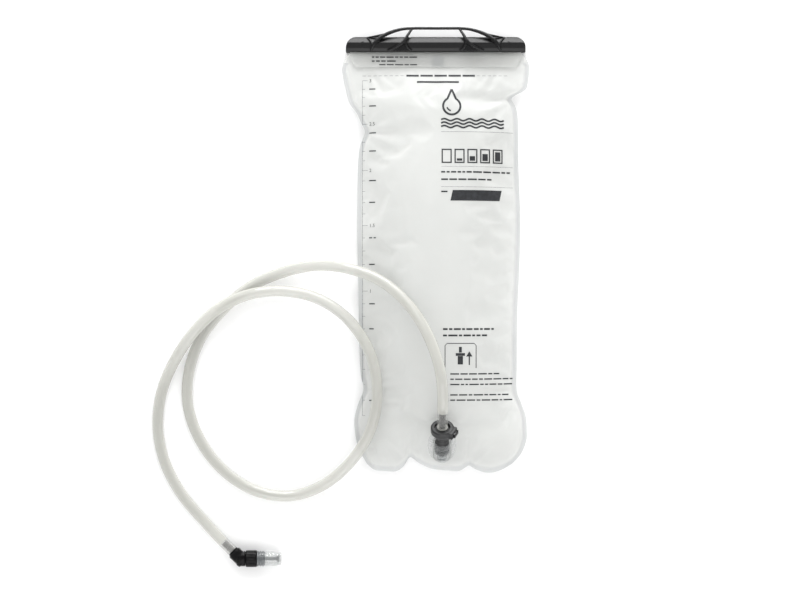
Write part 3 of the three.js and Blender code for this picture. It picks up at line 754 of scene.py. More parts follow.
def mouth_rows(side, columns):
    """The rows from the top of the body round the fold of the mouth to the end of the flap."""
    front = side == "front"
    neck = FRONT_NECK if front else FRONT_NECK + FILM_PITCH
    radius = FRONT_FOLD_RADIUS if front else FRONT_FOLD_RADIUS + FILM_PITCH
    low = MOUTH_Z - neck
    high = MOUTH_Z + neck
    line = [(179.5, low, 88.6), (182, low, 87.4), (184.5, low, 86), (187, low, 84.5), (MOUTH_Y, low, 82),
            (192.5, low, 78)]
    start = math.asin(neck / radius)
    sweep = 2 * math.pi - 2 * start
    for i in range(FOLD_ROWS):
        turn = math.pi + start + sweep * i / (FOLD_ROWS - 1)
        y = FOLD_Y + radius * math.cos(turn)
        line.append((y, MOUTH_Z + radius * math.sin(turn), FOLD_HALF_WIDTH))
    for y, rise, half in FLAP_LINE:
        line.append((y, high + rise, half))
    across = np.linspace(-1, 1, columns)
    rows = []
    for y, z, half in line:
        wave = 0.22 * np.sin(across * 9.0 + 0.4) * smoothstep(189, 180, y) if z > MOUTH_Z + 1.8 else 0.0
        rows.append(np.stack([across * half, np.full(columns, y), z + wave * np.ones(columns)], 1))
    return rows


def grid_object(name, grid, looks, hole=None, zone=None):
    """A sheet from a grid of points. Faces whose middle is in the hole are left out.

    zone(row, column) gives the number of a face's look.
    """
    rows, columns = grid.shape[:2]
    faces = []
    numbers = []
    for j in range(rows - 1):
        for i in range(columns - 1):
            a = j * columns + i
            if hole is not None:
                centre = grid[j:j + 2, i:i + 2].reshape(4, 3).mean(0)
                if hole(centre):
                    continue
            faces.append((a, a + 1, a + columns + 1, a + columns))
            numbers.append(zone(j, i) if zone else 0)
    mesh = bpy.data.meshes.new(name)
    mesh.from_pydata([tuple(p) for p in grid.reshape(-1, 3) * MM], [], faces)
    with_looks(mesh, *looks)
    mesh.polygons.foreach_set("material_index", numbers)
    mesh.shade_smooth()
    return linked(name, mesh)


# How far out the film's hole reaches over the flange, where the flange's edge is 1.
HOLE_REACH = 1 - FLANGE_LAP / FLANGE_HALF[0]


def port_hole(point):
    x, y, z = point
    return z > MOUTH_Z and flange_offset(x, y) < HOLE_REACH


def round_hole(made):
    """Moves the rim of the port's hole onto a true oval and drops points that no face uses."""
    mesh = bmesh.new()
    mesh.from_mesh(made.data)
    loose = [v for v in mesh.verts if not v.link_faces]
    bmesh.ops.delete(mesh, geom=loose, context="VERTS")
    for vert in mesh.verts:
        x, y, _ = vert.co / MM
        offset = flange_offset(x, y)
        if vert.is_boundary and offset < 1.3:
            scale = HOLE_REACH / max(offset, 0.01)
            x = FLANGE_AT[0] + (x - FLANGE_AT[0]) * scale
            y = FLANGE_AT[1] + (y - FLANGE_AT[1]) * scale
            vert.co = Vector((x, y, on_flange(y, FLANGE_HALF_THICKNESS + RIM_OVER_FLANGE))) * MM
    mesh.to_mesh(made.data)
    mesh.free()


def make_film(side):
    body = film_heights(side)
    if side == "front":
        body = inflated(body)
    rows = mouth_rows(side, body.shape[1])
    grid = np.concatenate([body, np.array(rows)])
    flap_start = len(body) + NECK_ROWS + FOLD_ROWS

    def zone(row, column):
        # The flap rows take the darker flap look, which is painted shade from the slider above.
        if row >= flap_start:
            return 2
        in_body = row < len(body)
        at_edge = row < WELD_FACES or not WELD_FACES <= column < grid.shape[1] - 1 - WELD_FACES
        return int(in_body and at_edge)

    hole = port_hole if side == "front" else None
    made = grid_object("film_" + side, grid, ["film", "weld", "flap"], hole, zone)
    if side == "front":
        round_hole(made)
    modify(made, "SUBSURF", levels=1, render_levels=1)
    made.data.shade_smooth()
    return made


# ---------------------------------------------------------------- the mouth, the slider and the handle


def make_bead():
    place = facing((-FOLD_HALF_WIDTH, FOLD_Y, MOUTH_Z), (1, 0, 0))
    width = 2 * FOLD_HALF_WIDTH
    profile = [(0, 0), (1.6, 0), (2.2, 0.6), (2.2, width - 0.6), (1.6, width), (0, width)]
    return turned("bead_cord", profile, place, "bead", 32)


TAB_MIDDLE = (2.15, 180.9)
TAB_HALF = (5.75, 4.9)
TAB_LIFT = 1.15
RIB_PITCH = 1.15
PICK_PITCH = 0.8


def make_tab():
    """The webbing tab, with its weave as real ridges."""
    across, along = 46, 40
    us = np.linspace(-1, 1, across)
    xs = TAB_MIDDLE[0] + TAB_HALF[0] * us
    rows = []
    for face in (1, -1):
        for v in np.linspace(-1, 1, along):
            y = TAB_MIDDLE[1] + TAB_HALF[1] * v
            weave = 0.07 * np.sin(xs * 2 * math.pi / RIB_PITCH) * math.sin(y * 2 * math.pi / PICK_PITCH)
            edge = np.clip(1 - np.abs(us) ** 14, 0, 1) * (1 - abs(v) ** 20)
            z = MOUTH_Z + TAB_LIFT + face * (0.1 + 0.27 * edge) + weave * edge
            rows.append(np.stack([xs, np.full(across, y), z], 1))
    points = np.concatenate(rows)
    half = across * along
    faces = []
    for j in range(along - 1):
        for i in range(across - 1):
            a = j * across + i
            faces.append((a, a + 1, a + across + 1, a + across))
            faces.append((half + a, half + a + across, half + a + across + 1, half + a + 1))
    near_end = list(range(across))
    right = [j * across + across - 1 for j in range(1, along)]
    far_end = [(along - 1) * across + i for i in range(across - 2, -1, -1)]
    left = [j * across for j in range(along - 2, 0, -1)]
    rim = near_end + right + far_end + left
    for a, b in zip(rim, rim[1:] + rim[:1]):
        faces.append((a, half + a, half + b, b))
    return new_object("webbing_tab", points * MM, faces, "webbing")


SLIDER_HALF = 86
SLIDER_TOP_Y = 204.1
SLIDER_CORNER = 10.5
SLIDER_BORE = 4.6
SLIDER_SLOT = 2.3
SLIDER_END_WALL = 2.6
SLIDER_SECTION = [
    (MOUTH_Y, 3.4), (189.5, 2.6), (191.2, 1.3), (193.5, 0.6), (196, 0.4), (201, 0.8), (203.2, 2.0),
    (203.9, 4.2), (203.9, 11.2), (203.5, 12.6), (202.6, 13.5), (198.6, 16.2), (197.6, 16.6),
    (192.8, 15.6), (190.4, 14.5), (189.5, 13.6), (MOUTH_Y, 12.6),
]


def prism(name, points, look):
    """A solid between two ends. Points, in millimetres, are one end's outline and then the other's."""
    count = len(points) // 2
    faces = [tuple(range(count)), tuple(range(count, 2 * count)), *strip_faces(0, count, count)]
    return new_object(name, [Vector(p) * MM for p in points], faces, look)


def extruded(name, outline, across, look):
    """A bar whose [y, z] outline runs along X."""
    return prism(name, [(x, y, z) for x in across for y, z in outline], look)


def plan_block(name, outline, heights, look):
    """A plate whose [x, y] outline runs up Z."""
    return prism(name, [(x, y, z) for z in heights for x, y in outline], look)


def slider_plan():
    """The slider's outline from above, with its two outer corners rounded."""
    end = SLIDER_HALF - 0.2
    corner_x = end - SLIDER_CORNER
    corner_y = SLIDER_TOP_Y - 0.1 - SLIDER_CORNER
    outline = [(-end, MOUTH_Y - 1), (end, MOUTH_Y - 1)]
    for side, start in ((1, 0), (-1, 90)):
        for i in range(9):
            turn = math.radians(start + i * 90 / 8)
            x = side * corner_x + SLIDER_CORNER * math.cos(turn)
            outline.append((x, corner_y + SLIDER_CORNER * math.sin(turn)))
    return outline


def make_slider():
    slot = math.asin(SLIDER_SLOT / SLIDER_BORE)
    channel = [(MOUTH_Y, MOUTH_Z + SLIDER_SLOT)]
    for i in range(25):
        turn = math.pi - slot - (2 * math.pi - 2 * slot) * i / 24
        channel.append((FOLD_Y + SLIDER_BORE * math.cos(turn), MOUTH_Z + SLIDER_BORE * math.sin(turn)))
    channel.append((MOUTH_Y, MOUTH_Z - SLIDER_SLOT))
    bar = extruded("closure_bar", SLIDER_SECTION + channel, (-SLIDER_HALF, SLIDER_HALF), "slider")
    wall = extruded("wall", SLIDER_SECTION, (SLIDER_HALF - SLIDER_END_WALL, SLIDER_HALF), "slider")
    plan = plan_block("plan", slider_plan(), (-2, 20), "slider")
    combine(bar, [wall])
    combine(bar, [plan], "INTERSECT")
    cutters = []
    for side in (-1, 1):
        # The dark recess between the two legs of each strut, and the arc that sets off each end.
        outline = [(21 * side, 188), (47 * side, 188), (45.5 * side, 190), (37.5 * side, 192.3),
                   (31.5 * side, 195), (28.8 * side, 198.6), (26.4 * side, 194.5), (24 * side, 190.8)]
        cutters.append(plan_block("recess", outline, (13.9, 20), "slider"))
        arc = centripetal([(73 * side, 187, 16.2), (72.4 * side, 192, 16.4), (70.5 * side, 197, 16.8),
                           (67.5 * side, 201.5, 15.6), (66 * side, 206, 13)], 6)
        cutters.append(swept("arc", arc, [0.75] * len(arc), 8, "slider"))
    combine(bar, cutters, "DIFFERENCE")
    cast(bar, 0.42, 3)
    return bar


HANDLE_ARCH = [
    (61.6, 190.4, 15.6), (60.7, 193.2, 17.2), (58.9, 196.6, 18.2), (55.9, 200.2, 18), (52.2, 203.2, 17),
    (47.6, 205.9, 15.8), (41.5, 208.5, 14.6), (33.5, 210.9, 13.3), (25, 211.9, 12.6), (0, 212, 12.6),
]
OUTER_LEG = [
    (22.5, 211.8, 12.6), (24.6, 208.6, 14.2), (27, 204.6, 16.6), (29.4, 200.2, 18.2), (33.4, 196.3, 18.4),
    (39, 193.2, 17.3), (46, 190.4, 15.6),
]
INNER_LEG = [
    (27.6, 203.2, 17.2), (28.7, 199, 18.2), (28.2, 195.6, 18), (26, 192.4, 16.9), (22.8, 190.2, 15.6),
]
FLARE = [(44, 207.3, 15.1), (50, 205.7, 15.3), (56, 204.5, 14.9), (61.5, 203.7, 13.9), (66, 203.2, 12.6)]
SPUR = [(60.2, 194.4, 17.6), (61.2, 197.4, 17.5), (63.2, 200.8, 15.9), (66, 203.2, 13.2)]

# Each leg of the handle, with its radius at the start, near the middle and at the end.
LEGS = [
    (OUTER_LEG, (1.1, 1.6, 0.9)), (INNER_LEG, (1.5, 1.2, 0.9)),
    (FLARE, (1.3, 1.2, 0.6)), (SPUR, (1.2, 0.9, 0.6)),
]
# Painted shade: a black plate between each strut's legs, laid over the slider's recess to stand for the
# shade in it.
SHADE_WEB = [(29, 199.4), (33.4, 195.6), (39, 192.6), (45.5, 190.2), (23.4, 190.2), (26.4, 192.6), (28.4, 196)]


def mirrored(points, side):
    return [(side * x, y, z) for x, y, z in points]


def make_handle():
    """The carry handle: a flattened arch, two forked struts, and flares at its feet. A black plate
    between each strut's legs is painted shade for the recess there.
    """
    half = HANDLE_ARCH[:-1]
    arch = mirrored(half, -1) + [HANDLE_ARCH[-1]] + half[::-1]
    path = evenly(centripetal(arch, 12), 1.2)
    radii = []
    for x, _, _ in path:
        foot = float(smoothstep(28, 50, abs(x)) * (1 - smoothstep(57, 61, abs(x))))
        radii.append((1.4 + 0.45 * foot, 1.3))
    handle = swept("carry_handle_moulding", path, radii, 20, "gloss")
    rods = []
    for side in (-1, 1):
        for leg, thickness in LEGS:
            line = evenly(centripetal(mirrored(leg, side), 12), 1.0)
            taper = list(np.interp(np.linspace(0, 1, len(line)), (0, 0.45, 1), thickness))
            rods.append(swept("leg", line, taper, 20, "gloss"))
        # The black plate is painted shade for the recess between the legs.
        rods.append(plan_block("shade_web", [(side * x, y) for x, y in SHADE_WEB], (14.6, 16.5), "gloss"))
    return cast(joined(handle, rods), 0.27, 5)


# ---------------------------------------------------------------- the outlet and the plug

SOCKET_RADIUS = 8.8
BARB_RADIUS = 3.42
BARB_ROOT = 2.7
WATERWAY = 1.5
COLLAR_FROM = 13.6
COLLAR_TO = 21.6
COLLAR_RADIUS = 11.1
BUTTON_TURN = math.radians(-25)


def make_port():
    place = facing(PORT_AT, PORT_AXIS)
    outside = [(0, -22.3)]
    for i in range(1, 13):
        turn = i * math.pi / 24
        outside.append((SOCKET_RADIUS * math.sin(turn), -13.5 - SOCKET_RADIUS * math.cos(turn)))
    outside += [(SOCKET_RADIUS, -4), (8.5, -3.6), (8.5, -2.2), (SOCKET_RADIUS, -1.8)]
    outside += [(SOCKET_RADIUS, 3), (0, 3)]
    port = turned("port_moulding", outside, place, "port")
    tilt = Matrix.Translation(Vector(FLANGE_AT) * MM) @ Matrix.Rotation(FLANGE_TILT, 4, "X")
    thick = FLANGE_HALF_THICKNESS
    rim = [(0, -thick), (14.6, -thick), (15.4, -0.2), (15.4, 0.2), (14.6, thick), (0, thick)]
    stretch = tilt @ Matrix.Diagonal((1, FLANGE_HALF[1] / FLANGE_HALF[0], 1, 1))
    flange = turned("flange", rim, stretch, "port")
    bore = [(0, -30), (4.6, -30), (4.6, -12), (3, -12), (3, -11), (7.5, -11), (7.5, 18), (0, 18)]
    cast(joined(port, [flange]), 0.34, 3)
    combine(port, [turned("bore", bore, place, "port")], "DIFFERENCE")
    port.data.materials.append(LOOKS["flange"])
    for face in port.data.polygons:
        arm = face.center - Vector(PORT_AT) * MM
        away = (arm - Vector(PORT_AXIS) * arm.dot(Vector(PORT_AXIS))).length
        face.material_index = 1 if away > (SOCKET_RADIUS + 0.5) * MM else 0
    outward(port)
    return port


def barbs(start, count, pitch):
    """The profile of a hose tail's ridges."""
    points = []
    for i in range(count):
        points += [(BARB_RADIUS, start + i * pitch), (BARB_ROOT, start + (i + 1) * pitch)]
    return points


def make_plug():
    place = facing(PORT_AT, PORT_AXIS)
    grooves = []
    for start in (-3.8, -1.5, 0.8):
        grooves += [(6.8, start), (6.1, start + 0.1), (6.1, start + 0.8), (6.8, start + 0.9)]
    profile = [
        (WATERWAY, -15), (2.0, -15), (2.4, -14.6), (2.4, -10.9), (6.4, -10.7), (6.8, -10.3), (6.8, -7.2),
        (5.7, -7.2), (5.7, -5.2), (6.8, -5.2), *grooves, (6.8, 2.4), (6.3, 3), (6.3, 6.6), (6.0, 6.9),
        (6.0, 8.3), (6.3, 8.6), (6.3, 13.3), (5, 13.3), (5, 18.2), (BARB_ROOT, 18.2), (BARB_ROOT, 25.5),
        *barbs(25.5, 4, 3.5), (WATERWAY, 39.5),
    ]
    return turned("plug_moulding", profile, place, "plug", 64, 0.15)


def make_collar():
    place = facing(PORT_AT, PORT_AXIS)
    pushed = facing(PORT_AT, PORT_AXIS, BUTTON_TURN)
    low, high = COLLAR_FROM, COLLAR_TO
    ring = [
        (5.3, low), (COLLAR_RADIUS - 1.6, low), (COLLAR_RADIUS - 0.3, low + 1.2),
        (COLLAR_RADIUS, low + 2.2), (COLLAR_RADIUS, high - 1.4), (COLLAR_RADIUS - 0.5, high - 0.4),
        (COLLAR_RADIUS - 1.2, high),
        (7.5, high), (7.3, high - 3.2), (5.3, high - 3.2),
    ]
    collar = turned("plug_ring", ring, place, "plug")
    housing = block("housing", (6.6, 13), (-6, 6), (low, high - 0.6), pushed, "plug", 0.9)
    hollow = turned("hollow", [(0, 0), (5.3, 0), (5.3, 40), (0, 40)], place, "plug")
    pocket = block("pocket", (8.2, 20), (-4.3, 4.3), (15.1, 20.1), pushed, "plug")
    seam = block("seam", (9.4, 14), (-7, 7), (high - 5.4, high - 4.9), pushed, "plug")
    cast(joined(collar, [housing]), 0.24, 3)
    combine(collar, [hollow, pocket, seam], "DIFFERENCE")
    outward(collar)
    return collar


def make_button():
    place = facing(PORT_AT, PORT_AXIS, BUTTON_TURN)
    key = block("button_moulding", (10.6, 15.1), (-4, 4), (15.4, 19.8), place, "gloss", 0.45)
    seat = facing(place @ Vector((10.5 * MM, 0, 17.6 * MM)) / MM, place.to_3x3() @ Vector((1, 0, 0)))
    cuts = [turned("seat", [(0, 0), (2, 0), (2, 2.6), (0, 2.6)], seat, "gloss", 32)]
    for step in (-2.2, 0, 2.2):
        cuts.append(block("rib", (14.75, 16), (step - 0.35, step + 0.35), (14, 21), place, "gloss"))
    combine(key, cuts, "DIFFERENCE")
    outward(key)
    return key


# ---------------------------------------------------------------- the elbow and the bite valve

TUBE_END = (-194.5, -287.3, 8.3)
ELBOW_TURN = math.radians(-44.3)
ELBOW_WAY = (math.cos(ELBOW_TURN), math.sin(ELBOW_TURN), 0)
ELBOW_REACH = 11
ELBOW_CORNER = tuple(TUBE_END[i] + ELBOW_REACH * ELBOW_WAY[i] for i in range(3))
HEAD_PLACE = facing(ELBOW_CORNER, (1, 0, 0))


def make_elbow():
    tail_place = facing(TUBE_END, ELBOW_WAY)
    tail = [
        (0, -11), (BARB_ROOT, -11), (BARB_RADIUS, -8), (BARB_ROOT, -7.8), (BARB_ROOT, -6),
        (BARB_RADIUS, -3), (BARB_ROOT, -2.8), (BARB_ROOT, 0.3), (5.2, 0.3), (5.2, 2.2), (0, 2.2),
    ]
    elbow = turned("elbow_moulding", tail, tail_place, "elbow", 48)
    collar = [(0, 2.0), (6.0, 2.0), (6.7, 2.8), (6.7, 15.9), (0, 15.9)]
    grip = turned("grip", collar, tail_place, "elbow", 10, 0.5)
    bulge = [(0, -4), (6.0, -4), (7.4, -2.6), (7.4, 4.1), (7.0, 4.5), (0, 4.5)]
    neck = turned("neck", bulge, HEAD_PLACE, "elbow", 12, 0.4)
    corner = Matrix.Translation(Vector(ELBOW_CORNER) * MM)
    past = block("past", (4.5, 20), (-20, 20), (-20, 20), corner, "elbow")
    combine(grip, [past], "DIFFERENCE")
    seat = [(0, 3), (4.4, 3), (4.4, 9.6), (3.5, 9.6), (3.5, 11.2), (4.4, 11.2), (4.4, 14), (0, 14)]
    spigot = turned("spigot", seat, HEAD_PLACE, "elbow", 48)
    cast(joined(elbow, [grip, neck, spigot]), 0.22, 2)
    cuts = [
        turned("in", [(0, -12), (WATERWAY, -12), (WATERWAY, 11), (0, 11)], tail_place, "elbow", 24),
        turned("out", [(0, 0), (WATERWAY, 0), (WATERWAY, 15), (0, 15)], HEAD_PLACE, "elbow", 24),
    ]
    for i in range(5):
        at = 4.6 + 1.7 * i
        groove = [(6.35, at), (8, at), (8, at + 0.6), (6.35, at + 0.6)]
        cuts.append(turned("line", groove, tail_place, "elbow", 10))
    combine(elbow, cuts, "DIFFERENCE")
    outward(elbow)
    return elbow


def notched(radius, height, turn):
    """Twelve rounded grip notches round the middle of the sleeve."""
    depth = 0.5 * max(0.0, math.cos(12 * turn)) ** 3 if 6.5 < height < 14 else 0.0
    return round_spot(radius - depth, height, turn)


def make_sleeve():
    """The shut-off sleeve."""
    profile = [
        (5.1, 4.9), (7.2, 4.9), (7.75, 5.2), (8, 5.8), (8, 6.3), (8, 6.9), (8, 9), (8, 12), (8, 13.6),
        (8, 14.2), (8, 14.8), (7.75, 15.4), (7.2, 15.7), (5.1, 15.7),
    ]
    return turned("sleeve_moulding", profile, HEAD_PLACE, "elbow", 144, spot=notched)


def make_ring():
    """The ribbed ring between the sleeve and the mouthpiece."""
    profile = [(4.2, 16.0)]
    for i in range(3):
        at = 16.0 + 2.4 * i
        profile += [(7.2, at), (7.5, at + 0.3), (7.5, at + 1.0), (7.2, at + 1.3)]
        profile += [(6.7, at + 1.6), (6.7, at + 2.2)]
    profile += [(6.7, 23.4), (4.2, 23.4)]
    return turned("ribbed_ring", profile, HEAD_PLACE, "smoke", 64)


def make_stem():
    profile = [
        (0.9, 14.4), (3.4, 14.4), (3.6, 14.6), (3.6, 15.5), (1.7, 16), (1.7, 34.4), (4.1, 35.8),
        (4.1, 36.6), (3.6, 37), (0.9, 37),
    ]
    return turned("valve_stem_moulding", profile, HEAD_PLACE, "stem", 48, 0.12)


def flattened(radius, height, turn):
    """A cup that flattens a little towards its tip."""
    flat = 1 - 0.14 * smoothstep(27, 38, height)
    return Vector((flat * radius * math.cos(turn), radius * math.sin(turn), height))


def make_mouthpiece():
    """The bite valve: a silicone cup with a slit in its tip."""
    outside = [
        (4.6, 23.8), (6.6, 23.8), (6.9, 24.1), (7.0, 25.6), (6.8, 26.2), (6.75, 28), (6.9, 31), (6.7, 34),
        (6.3, 36.5), (6.1, 37.6), (5.9, 38.5), (5.4, 39.1), (4.4, 39.2), (2.2, 39.2), (0, 39.2),
    ]
    inside = [(0, 37.7), (4.0, 37.6), (4.7, 36.8), (5.2, 34), (4.9, 28), (4.6, 24.5)]
    cup = turned("mouthpiece", outside + inside, HEAD_PLACE, "silicone", 64, spot=flattened)
    slit = block("slit", (-0.3, 0.3), (-3.4, 3.4), (36, 41), HEAD_PLACE, "silicone")
    combine(cup, [slit], "DIFFERENCE")
    outward(cup)
    return cup


# ---------------------------------------------------------------- the prints on the film

INK_LIFT = 0.25
INK_EDGE = 2.4
INK_ROUNDS = 7
ABOVE_ALL = 120


class Press:
    """Lays flat shapes on the film from above. Shapes are lists of [x, y] outlines, in millimetres."""

    def __init__(self, film):
        self.tree = BVHTree.FromObject(film, bpy.context.evaluated_depsgraph_get())

    def drop(self, x, y):
        hit = self.tree.ray_cast(Vector((x, y, ABOVE_ALL)) * MM, Vector((0, 0, -1)))[0]
        return None if hit is None else Vector((x * MM, y * MM, hit.z + INK_LIFT * MM))

    def lay(self, name, shapes, look):
        """Cuts each outline into small faces and drops their corners on the film."""
        mesh = bmesh.new()
        for outline in shapes:
            corners = [mesh.verts.new((x, y, 0)) for x, y in outline]
            mesh.faces.new(corners)
        bmesh.ops.triangulate(mesh, faces=mesh.faces)
        for _ in range(INK_ROUNDS):
            long = [e for e in mesh.edges if e.calc_length() > INK_EDGE]
            if not long:
                break
            bmesh.ops.subdivide_edges(mesh, edges=long, cuts=1)
            bmesh.ops.triangulate(mesh, faces=[f for f in mesh.faces if len(f.verts) > 3])
        bmesh.ops.remove_doubles(mesh, verts=mesh.verts, dist=0.001)
        for vert in list(mesh.verts):
            spot = self.drop(vert.co.x, vert.co.y)
            if spot is None:
                mesh.verts.remove(vert)
            else:
                vert.co = spot
        for face in mesh.faces:
            face.normal_update()
            if face.normal.z < 0:
                face.normal_flip()
        data = bpy.data.meshes.new(name)
        mesh.to_mesh(data)
        mesh.free()
        data.shade_smooth()
        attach(linked(name, with_looks(data, look)), "reservoir")


def bar(x, y, width, height):
    """An upright rectangle whose middle left is at x, y."""
    low = y - height / 2
    high = y + height / 2
    return [(x, low), (x + width, low), (x + width, high), (x, high)]


def words(x, y, width, height, seed):
    """A line of filled blocks that stands for a line of small print."""
    draw = random.Random(seed)
    shapes = []
    at = x
    while at < x + width - 2:
        length = min(draw.uniform(2.2, 9.0), x + width - at)
        shapes.append(bar(at, y, length, height))
        at += length + 1.3
    return shapes


def ribbon(points, width):
    """A band of constant width along a line, as one outline per stretch."""
    line = np.array(points, float)
    way = np.gradient(line, axis=0)
    way /= np.linalg.norm(way, axis=1)[:, None]
    aside = np.stack([-way[:, 1], way[:, 0]], 1) * width / 2
    low = [tuple(p) for p in line - aside]
    high = [tuple(p) for p in line + aside]
    return [[low[i], low[i + 1], high[i + 1], high[i]] for i in range(len(line) - 1)]


def arc(x, y, reach, start, sweep, count):
    """Points round a circle, with its angles in degrees."""
    turns = [math.radians(start + sweep * i / count) for i in range(count + 1)]
    return [(x + reach * math.cos(turn), y + reach * math.sin(turn)) for turn in turns]


def digits(text, x, y, size):
    """The outlines of a number set in plain sans figures."""
    curve = bpy.data.curves.new("figures", "FONT")
    curve.body = text
    curve.size = size
    curve.resolution_u = 2
    holder = linked("figures", curve)
    graph = bpy.context.evaluated_depsgraph_get()
    mesh = bpy.data.meshes.new_from_object(holder.evaluated_get(graph))
    corners = [(x + vert.co.x, y + vert.co.y) for vert in mesh.vertices]
    shapes = [[corners[i] for i in face.vertices] for face in mesh.polygons]
    bpy.data.objects.remove(holder)
    bpy.data.meshes.remove(mesh)
    return shapes


# The scale's line, its figures, the fill line and the left edge of the prints on the right.
SCALE_X = -70.0
FIGURES_X = -63.5
FILL_Y = 166.6
COLUMN_X = 4.8

# The height on the film of each half litre, with the first tenth.
VOLUME_HEIGHTS = [(0.1, -158), (0.5, -100), (1.0, -39), (1.5, 23.5), (2.0, 76), (2.5, 120.5), (3.0, 162)]


def print_scale(press):
    """A line with a tick at each tenth of a litre and a figure at each half."""
    scale = [bar(SCALE_X - 0.2, 2, 0.4, 320)]
    figures = []
    for step in range(1, 31):
        volume = step / 10
        y = float(eased(VOLUME_HEIGHTS, np.array([volume]))[0])
        main = step % 5 == 0
        scale.append(bar(SCALE_X, y, 5.0 if main else 2.6, 0.45))
        if main:
            figures += digits(f"{volume:g}", FIGURES_X, y - 1.6, 4.6)
        elif step % 5 in (2, 4):
            figures += words(FIGURES_X, y, 6.5, 1.1, step)
    press.lay("print_scale", scale, "thin_ink")
    press.lay("print_figures", figures, "ink")


def print_fill_line(press):
    """Dashes across the bag, thin at the sides and thick in the middle, with a rule below."""
    starts = [SCALE_X + 5.2 * i for i in range(27)]
    thin = [bar(x, FILL_Y, 3.2, 0.4) for x in starts if not -31 < x < 36]
    press.lay("print_fill_dots", thin, "thin_ink")
    dashes = [bar(-28 + 13.4 * i, FILL_Y, 11.8, 1.9) for i in range(5)]
    dashes.append(bar(-18, FILL_Y - 6.3, 40, 1.8))
    press.lay("print_fill_line", dashes, "ink")


def print_drop(press):
    x, y = 15.0, 136.5
    tip = (x, y + 16.5)
    outline = ribbon([tip, *arc(x, y, 8.2, -240, 300, 40), tip], 2.0)
    shine = ribbon(arc(x, y, 4.6, 195, 64, 8), 1.5)
    press.lay("print_drop", outline + shine, "ink")


def print_waves(press):
    waves = []
    for row in range(3):
        y = 123.3 - 3.3 * row
        line = [(COLUMN_X + i, y + math.sin(i * 2 * math.pi / 12)) for i in range(61)]
        waves += ribbon(line, 1.7)
    press.lay("print_waves", waves, "ink")


def print_gauge(press):
    """Five boxes, each fuller than the one before."""
    gauge = []
    low, high, width, wall = 82.0, 95.5, 9.6, 1.2
    for i in range(5):
        left = 5.2 + 12.2 * i
        for x in (left, left + width - wall):
            gauge.append(bar(x, (low + high) / 2, wall, high - low))
        for y in (low + wall / 2, high - wall / 2):
            gauge.append(bar(left + wall, y, width - 2 * wall, wall))
        if i:
            gauge.append(bar(left + 2.2, low + 2.2 + i * 1.1, width - 4.4, i * 2.2))
    press.lay("print_gauge", gauge, "ink")


def print_pictogram(press):
    """A plug going up out of its socket, in a frame with an open foot."""
    frame_line = [(8.5, -112), (8.5, -90.5), (10.5, -88.5), (36, -88.5), (38, -90.5), (38, -112)]
    plug = ribbon(frame_line, 0.7)
    plug += [bar(20.5, -104.5, 5.0, 8.0), bar(18.6, -99.0, 8.8, 2.6), bar(21.6, -94.5, 2.8, 5.4)]
    plug += [[(28.5, -101), (34.5, -101), (31.5, -96)], bar(30.9, -105.0, 1.2, 8.0)]
    press.lay("print_pictogram", plug, "ink")


# Lines of small print: x, y, width, height of the letters and the seed of their lengths.
SMALL_PRINT = [
    (COLUMN_X, 73.6, 66, 1.5, 4), (COLUMN_X, 66.6, 48, 1.5, 5), (COLUMN_X, 55.0, 6, 1.4, 6),
    (6.5, -75.0, 50, 1.7, 7), (6.5, -81.0, 42, 1.7, 8), (13.5, -117.5, 47, 1.25, 20),
    (13.5, -122.5, 60, 1.25, 21), (13.5, -127.5, 62, 1.25, 22), (13.5, -137.5, 56, 1.25, 24),
    (13.5, -142.5, 60, 1.25, 25),
]
FLAP_PRINT = [(-61, 184.6, 45, 1.2, 31), (-61, 180.8, 26, 1.2, 32), (-54, 177.4, 38, 1.0, 33)]


def all_words(lines):
    return [shape for line in lines for shape in words(*line)]


def make_prints(film, flap_film):
    press = Press(film)
    print_scale(press)
    print_fill_line(press)
    print_drop(press)
    print_waves(press)
    press.lay("print_rules", [bar(COLUMN_X, y, 69, 0.35) for y in (111.8, 78.8, 59.5)], "thin_ink")
    print_gauge(press)
    press.lay("print_small", all_words(SMALL_PRINT), "ink")
    press.lay("print_badge", [[(13.5, 46.4), (60.5, 46.4), (62.7, 56.4), (15.7, 56.4)]], "ink")
    print_pictogram(press)
    Press(flap_film).lay("print_flap", all_words(FLAP_PRINT), "ink")


# ---------------------------------------------------------------- light and floor


FLOOR_HALF = 6


def make_floor():
    corners = [(FLOOR_HALF * x, FLOOR_HALF * y, 0) for x, y in ((-1, -1), (1, -1), (1, 1), (-1, 1))]
    new_object("floor", corners, [(0, 1, 2, 3)], "floor")


LIT_SPOT = Vector((0, -0.05, 0))


def area_light(name, at, size, energy):
    """A soft box that shines on the middle of the bag. Its size is in metres and its energy in watts."""
    data = bpy.data.lights.new(name, "AREA")
    data.shape = "RECTANGLE"
    data.size, data.size_y = size
    data.energy = energy
    light = linked(name, data)
    light.location = at
    light.visible_camera = False
    light.rotation_euler = (LIT_SPOT - Vector(at)).to_track_quat("-Z", "Y").to_euler()


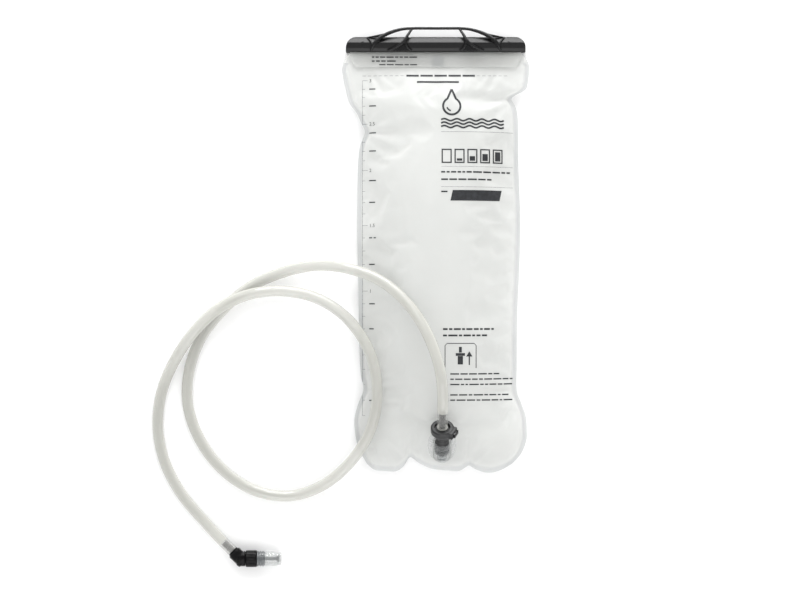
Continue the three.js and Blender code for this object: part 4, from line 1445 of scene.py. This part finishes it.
def make_lights():
    world = bpy.data.worlds.new("studio")
    world.use_nodes = True
    background = world.node_tree.nodes["Background"]
    background.inputs["Color"].default_value = (1.0, 1.0, 1.0, 1.0)
    background.inputs["Strength"].default_value = 0.72
    bpy.context.scene.world = world
    area_light("key", (-0.4, 1.6, 1.8), (1.3, 0.6), 11)
    area_light("top_edge", (0.1, 2.0, 0.6), (1.6, 0.9), 50)
    area_light("fill_front", (0.3, -2.3, 2.0), (3.4, 2.6), 58)
    bpy.context.scene.view_settings.view_transform = "Standard"


# ---------------------------------------------------------------- putting it together


def place(piece, body, nodes, slot):
    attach(piece, body)
    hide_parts(*nodes)
    return piece


def dress(node, look):
    """Gives a CAD node its material."""
    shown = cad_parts[node]
    for holder in shown.material_slots:
        holder.material = LOOKS[look]
    if not shown.material_slots:
        shown.data.materials.append(LOOKS[look])


make_camera()
tube, tube_line = make_tube()
place(tube, "hose", ["drink_tube"], "tube")
elbow = place(make_elbow(), "elbow", ["elbow_body"], "gloss_plastic")
sleeve = place(make_sleeve(), "valve", ["shutoff_sleeve"], "gloss_plastic")
ribbed = place(make_ring(), "valve", ["valve_ring"], "grey_plastic")
stem = place(make_stem(), "valve", ["valve_stem"], "grey_plastic")
mouthpiece = place(make_mouthpiece(), "valve", ["bite_valve"], "silicone")
tuple(c * MM for c in TUBE_ROUTE[0])
[tuple(p) for p in tube_line]

film_front = place(make_film("front"), "reservoir", ["front_panel"], "film")
film_back = place(make_film("back"), "reservoir", ["back_panel"], "film")
place(make_bead(), "reservoir", ["fold_bead"], "bead")
place(make_tab(), "reservoir", ["mouth_pull_tab"], "webbing")
place(make_slider(), "slider", ["closure_slider"], "hard_plastic")
place(make_handle(), "slider", ["carry_handle"], "gloss_plastic")
place(make_port(), "reservoir", ["outlet_port"], "port")
place(make_plug(), "hose", ["plug_body"], "plug")
place(make_collar(), "hose", ["plug_collar"], "plug")
place(make_button(), "button", ["release_button"], "gloss_plastic")
for look, nodes in (("seal", ("port_seal", "plug_o_ring", "elbow_o_ring")),
                    ("valve_part", ("port_poppet", "poppet_retainer")),
                    ("steel", ("poppet_spring", "button_spring"))):
    for node in nodes:
        dress(node, look)
make_prints(film_front, film_back)
make_floor()
make_lights()
